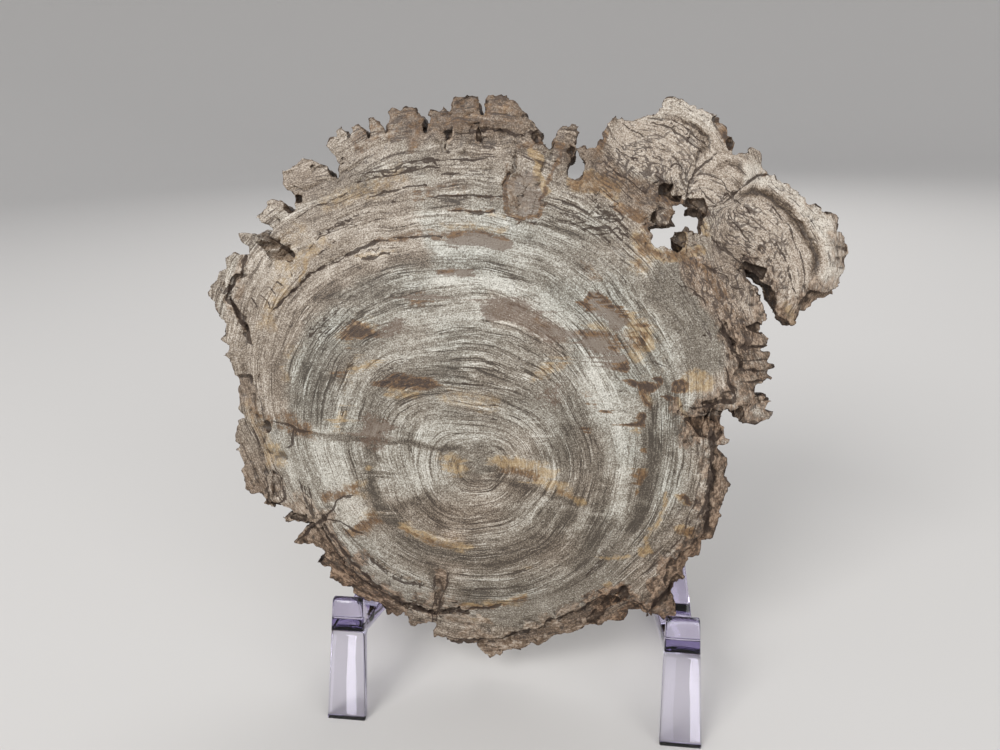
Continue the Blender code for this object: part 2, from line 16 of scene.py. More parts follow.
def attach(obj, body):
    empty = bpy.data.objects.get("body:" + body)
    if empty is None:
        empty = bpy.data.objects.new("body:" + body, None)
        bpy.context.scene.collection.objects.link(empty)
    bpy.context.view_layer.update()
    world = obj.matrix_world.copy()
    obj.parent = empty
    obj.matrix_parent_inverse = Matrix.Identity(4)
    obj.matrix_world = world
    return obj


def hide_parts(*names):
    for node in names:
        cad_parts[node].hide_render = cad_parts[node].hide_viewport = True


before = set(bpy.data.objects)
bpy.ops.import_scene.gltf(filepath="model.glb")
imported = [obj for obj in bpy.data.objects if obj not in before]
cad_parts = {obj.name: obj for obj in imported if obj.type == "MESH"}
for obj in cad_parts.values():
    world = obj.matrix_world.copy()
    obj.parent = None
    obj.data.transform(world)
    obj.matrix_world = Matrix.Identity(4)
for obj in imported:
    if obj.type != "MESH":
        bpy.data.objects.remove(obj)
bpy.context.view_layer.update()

MM = 0.001

# The slice's place, as the solids have it
FACE_MM = 0.99 * MM
LEAN = math.radians(16.0)
PITH = Vector((-9.9, -6.3, 92.2)) * MM
THICKNESS = 12.0
TO_WORLD = (
    Matrix.Translation(PITH)
    @ Matrix.Rotation(math.radians(90.0) - LEAN, 4, "X")
    @ Matrix.Diagonal((FACE_MM, FACE_MM, MM, 1.0))
)

# Camera: place, direction, roll and focal length in millimetres on a 36 mm wide frame
CAMERA_PLACE = Vector((36.2, -283.0, 250.0)) * MM
CAMERA_AIM = Vector((-0.12714, 0.92345, -0.36205))
CAMERA_ROLL = math.radians(-1.7)
FOCAL_LENGTH = 26.32
# The middle of the slice, which the lamps face
LAMP_AIM = Vector((0.0, 0.0, 0.12))
# Floor: its flat reach, and the curve at its edge
FLOOR_REACH = 2.2
CURVE_HEIGHT = 1.2
CURVE_STEPS = 8

# Mesh of the slice
VOXEL = 0.6
FACE_COUNT = 190000
SEED = 11
# Thinning: the lower a part's weight, the closer together its points stay
KEEP_FRONT = 0.5
KEEP_WALL = 0.75
KEEP_BACK = 0.88
# How strongly those weights count, beside how flat the surface is
KEEP_STRENGTH = 0.01

# Growth rings: guide rings as distances from the pith at equal steps of angle, from +x towards +y.
# Rings between them are blends.
GUIDE_RINGS = [
    (40.0, [
        36, 38, 39, 40, 41, 41, 42, 44, 49, 55, 57, 55,
        51, 48, 44.5, 40.5, 37, 34, 32, 31.4, 31.2, 31.2, 31, 33,
    ]),
    (66.0, [
        57.5, 60.5, 63, 68, 75.5, 80.5, 82.5, 85, 89, 92.5, 92.5, 86,
        78, 71.8, 66.4, 61.4, 57, 53.8, 52.2, 52, 52.6, 53.8, 55.2, 56,
    ]),
    (95.0, [
        85, 91, 102, 108, 111.5, 114.4, 117.4, 122.8, 129.5, 134.5, 129, 112,
        98.5, 87.8, 80.8, 74.4, 69, 65.4, 64.2, 64.4, 66, 69.5, 75, 80.4,
    ]),
    (112.0, [
        104, 108, 114, 122, 134, 145, 150, 152, 153, 158, 152, 131,
        116, 104, 96, 88, 82, 79, 79, 80, 82, 88, 96, 101,
    ]),
]
# The middle of the innermost rings
PITH_OFF = (-1.5, 4.5)
# How rough the bark is at the rim, at equal steps of angle, from +x towards +y
BARK_ROUGHNESS = [
    0.75, 0.8, 0.8, 0.5, 0.35, 0.45, 0.35, 0.25, 0.2, 0.2, 0.25, 0.4,
    0.5, 0.8, 1.0, 0.9, 0.7, 0.6, 0.7, 0.7, 0.7, 0.75, 0.8, 0.8,
]
# How dark that bark is, from pale crust at 0 to deep brown at 1
BARK_DARKNESS = [
    0.7, 0.75, 0.65, 0.5, 0.3, 0.5, 0.45, 0.35, 0.25, 0.2, 0.2, 0.25,
    0.12, 0.45, 0.85, 0.85, 0.7, 0.4, 0.2, 0.15, 0.3, 0.95, 0.8, 0.85,
]
# How dark and how warm the ground is, by ring: (rings, values)
RING_SHADE = (
    (0, 12, 20, 38, 42, 48, 54, 66, 72, 76, 84, 92, 100, 112),
    (0.55, 0.55, 0.53, 0.53, 0.57, 0.57, 0.53, 0.50, 0.46, 0.53, 0.51, 0.49, 0.49, 0.48),
)
RING_WARMTH = ((0, 30, 55, 64, 88, 98, 112), (0.45, 0.35, 0.3, 0.1, 0.12, 0.4, 0.7))
# Growth round the side branch, in the upper right: (centre, place, half size, ring at its centre)
SIDE_GROWTH = [
    ((91.0, 81.0), (121.0, 102.0), (27.0, 31.0), 117.0),
    ((62.0, 122.0), (77.0, 146.0), (24.0, 16.0), 106.0),
    ((86.0, 110.0), (97.0, 129.0), (13.0, 12.0), 112.0),
]
# The ground on that growth: how dark, how warm and how calm it is
LOBE_SHADE = 0.34
LOBE_WARMTH = 0.85
LOBE_CALM = 0.75
# How warm the ground is where the rings hardly show
CALM_WARMTH = 0.25

# Open lines in the face: (half width, depth, points)
OPEN_LINES = [
    # upper left
    (0.45, 0.5, [(-60, 131), (-53, 133), (-45, 134.4), (-38, 136), (-30, 138), (-20, 138.3),
        (-10, 138), (0, 138)]),
    (0.40, 0.4, [(-56, 129.2), (-49, 130.6), (-40, 132.4), (-30, 134.2), (-20, 135)]),
    (0.40, 0.4, [(-19, 132), (-12, 132)]),
    (0.30, 0.3, [(-51, 123.3), (-45, 124.7), (-38, 126), (-32, 127.5), (-26, 128)]),
    (0.35, 0.4, [(-43, 120.3), (-40, 121.2)]),
    (0.45, 0.5, [(-28, 121.6), (-24, 122.5), (-15, 123.4), (-5, 122.8), (6, 121.7)]),
    (0.45, 0.5, [(-15, 116.6), (-5, 116.4), (4, 116)]),
    (0.25, 0.2, [(-85, 113.8), (-80, 117.2), (-74, 119.6), (-61, 125)]),
    (0.25, 0.2, [(-78.5, 101.8), (-73, 106.2), (-67, 110.2), (-61, 112)]),
    (0.25, 0.2, [(-74, 107.7), (-66, 111.6), (-50, 117.4)]),
    (0.60, 0.9, [(-96, 74), (-89.6, 80), (-83, 86.2), (-76.6, 90.7), (-70, 94.2), (-62, 97.7),
        (-55.5, 100.7), (-49, 104.2)]),
    (0.45, 0.5, [(-49, 104.2), (-41, 105.1), (-30, 105.1), (-19, 106)]),
    (0.30, 0.4, [(-74.4, 98.7), (-70, 102.2), (-66, 105.2)]),
    (0.30, 0.4, [(-105.8, 79), (-103.7, 75.4)]), (0.30, 0.4, [(-101.4, 80), (-98.2, 77.4)]),
    (0.30, 0.4, [(-98, 83.6), (-95, 81)]), (0.30, 0.4, [(-94.6, 86.4), (-92, 84.6)]),
    (0.40, 0.5, [(-80.3, 57.7), (-79, 66), (-72.7, 71), (-66.3, 73.6)]),
    (0.30, 0.3, [(-72.8, 63), (-66.4, 68)]), (0.35, 0.3, [(-57, 96), (-49.4, 97.2), (-42, 98.2)]),
    (0.70, 1.2, [(-119, 79), (-114.6, 75), (-112.5, 69.6), (-108.3, 63.5), (-107.3, 59.3)]),
    (0.60, 0.9, [(-108.5, 98.3), (-111, 89), (-120, 81)]),
    (0.60, 0.9, [(-100.7, 108.4), (-96.5, 106), (-92, 102), (-88, 98)]),
    (0.50, 0.7, [(-12, 149), (-1, 150.3), (7.7, 150), (11.6, 147.7), (18.4, 148.5)]),
    # the lobe
    (0.35, 0.9, [(115.6, 131), (111, 129.6), (104.6, 125), (99.5, 120.6), (93.6, 117.2)]),
    (0.35, 0.7, [(94.3, 138.3), (90.6, 135.6), (87, 132.6), (84.8, 129.2), (83.5, 125.8),
        (83.3, 122.3)]),
    (0.30, 0.4, [(56.5, 150.8), (62, 148.4), (65, 146.8)]),
    (0.30, 0.4, [(76.4, 151.8), (81, 149), (85, 146.7), (89, 143)]),
    (0.35, 0.5, [(69.6, 151.2), (74.2, 149), (79, 146.5), (83.6, 143.3), (88.6, 139.8)]),
    (0.30, 0.4, [(70.2, 129.4), (73.3, 127.8), (76.5, 124.7)]),
    (0.30, 0.3, [(74.7, 131.6), (76.6, 134.7), (78.5, 135.4), (81, 132.3)]),
    (0.25, 0.3, [(54.3, 142), (57.5, 139.6), (60.7, 138), (65.4, 136.4)]),
    (0.25, 0.3, [(50.6, 133.6), (56.2, 130.4), (61, 126.8), (66.5, 124)]),
    (0.25, 0.3, [(93, 130.6), (97, 127.5), (99.7, 124)]),
    (0.25, 0.3, [(88, 125.3), (91, 121.4), (94.3, 118.3)]), (0.25, 0.3, [(98.7, 122.9), (95.8, 119)]),
    (0.30, 0.4, [(103.3, 119), (108, 116), (110.4, 112)]),
    (0.30, 0.3, [(117, 117.4), (121.6, 112), (125.6, 106), (128, 100.5), (130.7, 91.3)]),
    (0.40, 0.5, [(119.7, 102.8), (122.2, 97.4), (124.7, 91.3), (126.5, 84.3)]),
    (0.30, 0.4, [(99.8, 113), (104.5, 108.3), (108.5, 103)]),
    (0.40, 0.6, [(106.4, 96.7), (110.4, 92.8), (114.3, 89.7)]),
    (0.40, 0.6, [(93.2, 105.2), (98, 100.6), (102, 97.5), (104.2, 96)]),
    (0.35, 0.5, [(89.7, 94.3), (93.7, 91.2), (96.7, 92), (99.7, 94.3)]),
    (0.35, 0.5, [(93, 90.4), (100, 89.7), (101.5, 85), (105.4, 84.2)]),
    (0.30, 0.4, [(79, 88), (82.3, 85), (85.4, 84)]), (0.30, 0.3, [(87, 82.6), (91.8, 78)]),
    (0.35, 0.5, [(97.4, 71.6), (100.7, 65.3), (103, 59.8)]),
    # right
    (0.90, 1.4, [(96.3, 24), (97, 10.3), (96.5, 1.3), (96, -8.8), (96, -19)]),
    (0.80, 1.2, [(99.8, 67), (103.3, 62), (106, 55), (108, 49.8)]),
    (0.70, 1.2, [(101.2, 50.5), (103.5, 44.4), (105, 37.8), (97.4, 36.3), (88.9, 33.9)]),
    (0.50, 1.2, [(108.5, 59.6), (116, 60)]), (0.50, 1.2, [(107, 50.2), (116, 49.9)]),
    (0.40, 1.0, [(109, 46.2), (117.4, 46)]), (0.40, 0.8, [(108, 54.6), (117, 55)]),
    (0.30, 0.3, [(58.4, 40.4), (57.4, 38.6), (58, 37.4)]),
    (0.30, 0.3, [(57.2, 34.4), (59, 35), (60.6, 33), (58.4, 32.6), (57.2, 34.2)]),
    (0.25, 0.3, [(68.4, 53.5), (72.8, 52.7), (76.3, 51.4)]),
    (0.30, 0.4, [(88.6, -5.4), (90.6, -5.6), (93, -7)]),
    (0.40, 0.6, [(51.3, -34.2), (48.4, -37), (45.5, -40.7)]),
    # lower left and bottom
    (0.70, 1.2, [(-74, -23.5), (-70, -29), (-66, -34), (-61, -40.6), (-56, -45.4), (-50, -51.2),
        (-43.7, -56), (-36.7, -59), (-31.6, -59.3)]),
    (0.50, 1.0, [(-77, -24.7), (-73, -31), (-68, -37), (-63, -43.8), (-58, -48.6), (-52, -52.3),
        (-45.8, -56)]),
    (0.50, 1.0, [(-72, -19), (-78.2, -23.2), (-82.4, -27.5), (-85.5, -30.7), (-88.7, -33.4)]),
    (0.40, 0.6, [(-72, -21), (-65.8, -21.6), (-60.8, -25.4), (-56.7, -27.2)]),
    (0.40, 0.6, [(-76, -23), (-69.8, -15.8), (-68.2, -12.2), (-61.6, -10)]),
    (0.40, 0.4, [(-51.7, -39), (-45.7, -43.8), (-38.6, -48.5), (-31.6, -49), (-26.6, -48.8)]),
    (0.60, 0.9, [(-31.6, -60.3), (-25.6, -61.4), (-16.6, -61.4), (-6.7, -59.7), (2, -58.2), (8, -55.8)]),
    (0.80, 1.2, [(-17.6, -74.7), (-10.6, -75.2), (-3.7, -73.7), (2.2, -73.8), (11, -72.2),
        (17.8, -68.2), (22.6, -66.9), (29.3, -63.4), (33.9, -61.1)]),
    (0.60, 0.9, [(33.9, -61), (39.4, -58.7), (45.8, -55.4), (52.1, -50.3), (60.2, -45.5)]),
    (0.50, 0.7, [(64.8, -50.4), (69.4, -53), (72.2, -55.7), (76.5, -51.6), (81.7, -45.6)]),
    (0.45, 0.6, [(-23, -46), (-22.8, -50.6), (-22.6, -54.7), (-23.4, -60), (-24, -66)]),
    (0.45, 0.6, [(-16.4, -43.4), (-17, -48.3), (-19.6, -53), (-21, -58), (-21.6, -65)]),
    (0.50, 0.9, [(-102.7, -4), (-100.8, -10), (-98.8, -15)]),
    (0.45, 0.8, [(-93.4, -6.7), (-92.5, -11.7), (-97.8, -16)]),
    (0.45, 0.7, [(-85, -3.3), (-84, -8.3), (-82, -13.3), (-79, -19.2)]),
    (0.35, 0.6, [(-81, -6.2), (-79.5, -12), (-79, -18.2)]),
    (0.45, 0.6, [(-97, 23.6), (-91, 22.4), (-86, 20.4), (-81, 19.4)]),
    (0.40, 0.6, [(-87.6, 19), (-88.6, 13), (-91, 11)]),
    # round the pith
    (0.30, 0.3, [(3, 12.4), (1.2, 10.3)]), (0.30, 0.3, [(0.4, 9), (-0.9, 5)]),
    (0.35, 0.3, [(-12, 43), (-6.2, 41.8), (0.6, 42.2)]), (0.25, 0.2, [(-1, 33), (5.7, 33.2)]),
]

# Pits with broken walls: (x, y, reach)
RAGGED_PITS = [
    (-99.0, 103.0, 15.0), (76.0, 121.0, 9.0), (86.0, 117.0, 8.0), (72.0, 111.0, 8.0), (82.0, 104.0, 8.0),
    (110.0, 94.0, 8.0), (92.0, 27.0, 12.0), (17.0, 123.0, 12.0), (-15.0, 147.0, 5.0), (-4.0, 148.0, 5.0),
]
# A knot that has healed over: the middle, how far it is healed and where that ends, how much
KNOT = (17.0, 123.0)
KNOT_REACH = (8.0, 11.0)
KNOT_HEALED = 0.75
# Pits drawn as lit, with less painted shade and paler bark: (x, y, reach)
LIT_PALE_PITS = [(17.0, 123.0, 12.0), (-99.0, 103.0, 17.0)]
# Places where the face has broken away, down to bark: (half width, depth, points)
RECESSES = [
    (6.5, 2.4, [(91, 27.5), (97, 27.5)]), (2.4, 1.8, [(89, 35), (97, 36.5), (102, 38)]),
    (2.6, 2.2, [(47, -62), (52.3, -57.5), (57.6, -52.5), (61, -48)]),
    (1.8, 1.6, [(75, -53), (79, -48.6), (84.3, -41.7)]),
]
# Where the brackets hold the slice, it stays as the solid is: (x, y, clear distance)
HELD = [(-57.0, -56.0, 14.0), (84.0, -44.0, 14.0)]

# Open lines that follow the rings: (ring, first and last angle in degrees, half width, open share)
RING_LINES = [
    (80.6, 112, 119, 0.5, 0.8), (100.0, 60, 76, 0.8, 0.9), (97.2, 62, 76, 0.6, 0.8),
    (101.8, 59, 70, 0.5, 0.7), (95.0, 66, 78, 0.5, 0.7), (103.6, 60, 72, 0.6, 0.7),
    (90.4, 52, 70, 0.4, 0.5), (105.6, 62, 71, 0.5, 0.6), (71.6, 133, 145, 0.5, 0.7),
    (40.2, 90, 106, 0.5, 0.8), (37.4, 86, 97, 0.4, 0.5), (56.6, 136, 149, 0.5, 0.6),
    (53.0, 151, 163, 0.4, 0.6), (47.0, 120, 150, 0.35, 0.5), (74.6, 2, 17, 0.4, 0.5),
    (94.0, 222, 250, 0.9, 0.9), (90.6, 207, 226, 0.8, 0.9), (81.0, 197, 207, 0.8, 0.9),
    (98.0, 205, 222, 0.8, 0.8), (66.2, 213, 241, 0.4, 0.6), (64.6, 255, 275, 0.4, 0.6),
    (69.4, 218, 237, 0.4, 0.5), (54.6, 284, 300, 0.4, 0.5), (78.4, 317, 327, 0.6, 0.9),
    (104.0, 346, 372, 0.7, 0.7), (101.0, 340, 358, 0.6, 0.6), (108.0, 64, 70, 0.5, 0.6),
    (92.0, 108, 121, 0.35, 0.5), (88.6, 104, 113, 0.35, 0.4), (60.6, 296, 318, 0.4, 0.4),
    (63.4, 262, 285, 0.4, 0.4), (30.0, 225, 243, 0.4, 0.5), (98.0, 168, 176, 0.7, 0.8),
    (93.0, 176, 187, 0.6, 0.8), (88.0, 160, 168, 0.5, 0.7),
]

# Tints that lie on the stone:
# grey: darker bands, wedges and veins
# pale: bands and wedges bleached to cream
# calm: where the rings hardly show
# warm: tan ground
# ochre: golden iron stain
# rust: brown iron stain, nearly black where it is strongest
# patch: dense grey-brown lenses with dark edges
# bark: bark away from the rim
# crackle: a net of fine cracks

# Patches between two angles, in degrees, and two rings: (strength, angles, rings)
PATCHES = {
    "grey": [
        (0.1, (0, 360), (-6, 8)), (0.16, (0, 60), (8, 14)), (0.2, (318, 330), (10, 21)),
        (0.12, (206, 226), (19.6, 22.6)), (0.12, (200, 345), (22, 28)), (0.12, (250, 264), (20, 40)),
        (0.18, (14, 30), (29, 42)), (0.22, (128, 141), (33, 38.6)), (0.08, (-6, 31), (43, 61)),
        (0.14, (20, 33), (47, 57)), (0.24, (214, 262), (40.5, 47)), (0.2, (268, 346), (39, 51)),
        (0.14, (298, 346), (35.6, 40.4)), (0.16, (340, 362), (54, 64)), (0.22, (127, 149), (56.6, 61)),
        (0.08, (61, 84), (71, 75)), (0.05, (62, 118), (73, 78)), (0.34, (-16, 18), (75, 83)),
        (0.18, (15, 28), (85, 93)), (0.22, (104, 114), (72, 80)), (0.2, (112, 122), (66, 72)),
        (0.24, (149, 157), (60, 69)), (0.24, (157.6, 164), (60, 73)), (0.3, (240.6, 251), (51.6, 66)),
        (0.24, (243, 250), (64, 84)), (0.16, (284, 301), (57, 67)), (0.28, (314, 347), (57, 71)),
        (0.2, (28, 52), (94, 114)), (0.1, (196, 330), (74, 112)), (0.1, (60, 100), (120, 135)),
        (0.2, (38, 52), (120, 150)), (0.18, (60, 104), (108, 140)), (0.16, (256, 275), (60, 80)),
    ],
    "pale": [
        (0.3, (200, 350), (3, 6)), (0.22, (157, 198), (13, 36)), (0.16, (225, 242), (15, 20)),
        (0.2, (266, 346), (12, 17)), (0.14, (206, 222), (14, 19)), (0.12, (268, 345), (29, 38)),
        (0.18, (120, 150), (20, 34)), (0.14, (40, 62), (17, 29)), (0.2, (108, 122), (44, 56)),
        (0.16, (122, 165), (48, 57)), (0.2, (-6, 32), (62, 73)), (0.28, (28, 46), (58, 68)),
        (0.28, (60, 106), (66, 71.4)), (0.22, (92, 128), (57, 63)), (0.04, (100, 166), (76, 104)),
        (0.08, (-12, 14), (84, 96)), (0.24, (58, 122), (78, 84)), (0.2, (60, 118), (87, 92.6)),
        (0.4, (164, 200), (49, 64)), (0.14, (160, 210), (64, 86)), (0.14, (196, 212), (50, 62)),
        (0.14, (190, 200), (50, 66)), (0.2, (211, 237), (72, 91)), (0.3, (346, 361), (64, 71)),
        (0.28, (327, 350), (52.4, 57)), (0.1, (272, 326), (78, 99)), (0.16, (39, 45), (97, 103)),
    ],
    "calm": [
        (0.8, (214, 262), (40.5, 47)), (0.4, (100, 166), (74, 104)), (0.5, (160, 200), (62, 90)),
        (0.8, (211, 237), (72, 91)), (0.9, (272, 326), (78, 99)), (1.0, (28, 52), (94, 114)),
    ],
    "warm": [
        (0.5, (203, 256), (24, 39)), (0.4, (84, 120), (28, 38)), (0.6, (60, 90), (56, 66)),
        (0.7, (104, 166), (74, 104)), (0.9, (60, 104), (108, 140)),
    ],
    "ochre": [
        (0.55, (208, 224), (36.6, 42)), (0.3, (224, 256), (32, 38)), (0.55, (134, 150), (55, 57.6)),
        (0.6, (149, 165), (51, 54.4)), (0.5, (125, 138), (60, 67)), (0.25, (33, 50), (77, 92)),
        (0.6, (50, 58), (70, 78)), (0.6, (86, 99), (86, 89)), (0.5, (146, 154), (73, 77)),
        (0.6, (87, 97), (91.4, 93.2)), (0.5, (53, 58), (93, 104)), (0.5, (105, 122), (98, 106)),
        (0.6, (124, 136), (88, 93)), (0.5, (136, 148), (84, 92)), (0.5, (163, 178), (88, 98)),
        (0.75, (172, 178), (82, 97)), (0.6, (183, 191), (46, 56)), (0.5, (196, 206), (46, 56)),
        (0.6, (268, 287), (72, 80)), (0.5, (284, 301), (53.6, 56)), (0.5, (264, 272), (92, 97)),
    ],
    "rust": [
        (0.42, (84, 112), (111, 126)), (0.35, (58, 76), (112, 130)), (0.85, (107.6, 113), (63.4, 66.4)),
        (2.2, (128.4, 134), (60.6, 65.8)), (0.5, (41, 49), (80, 84)), (0.5, (36, 42), (56.6, 60)),
        (0.5, (98, 116), (84.2, 86)), (0.5, (62, 67), (83.6, 86.4)), (0.6, (94, 105), (96.8, 98.6)),
        (0.75, (163.6, 168.4), (62, 76)), (0.5, (164, 168), (76, 95)), (0.8, (185.6, 189.4), (50, 68)),
        (0.8, (200.4, 205.4), (49, 67)), (0.45, (214, 240), (65, 67.4)), (0.5, (284, 291), (71, 76)),
        (0.6, (260, 275), (78, 84)),
    ],
    "patch": [
        (0.4, (151, 164), (34, 43)), (0.3, (47, 60), (42, 51)), (0.6, (118, 128), (57, 60.4)),
    ],
}

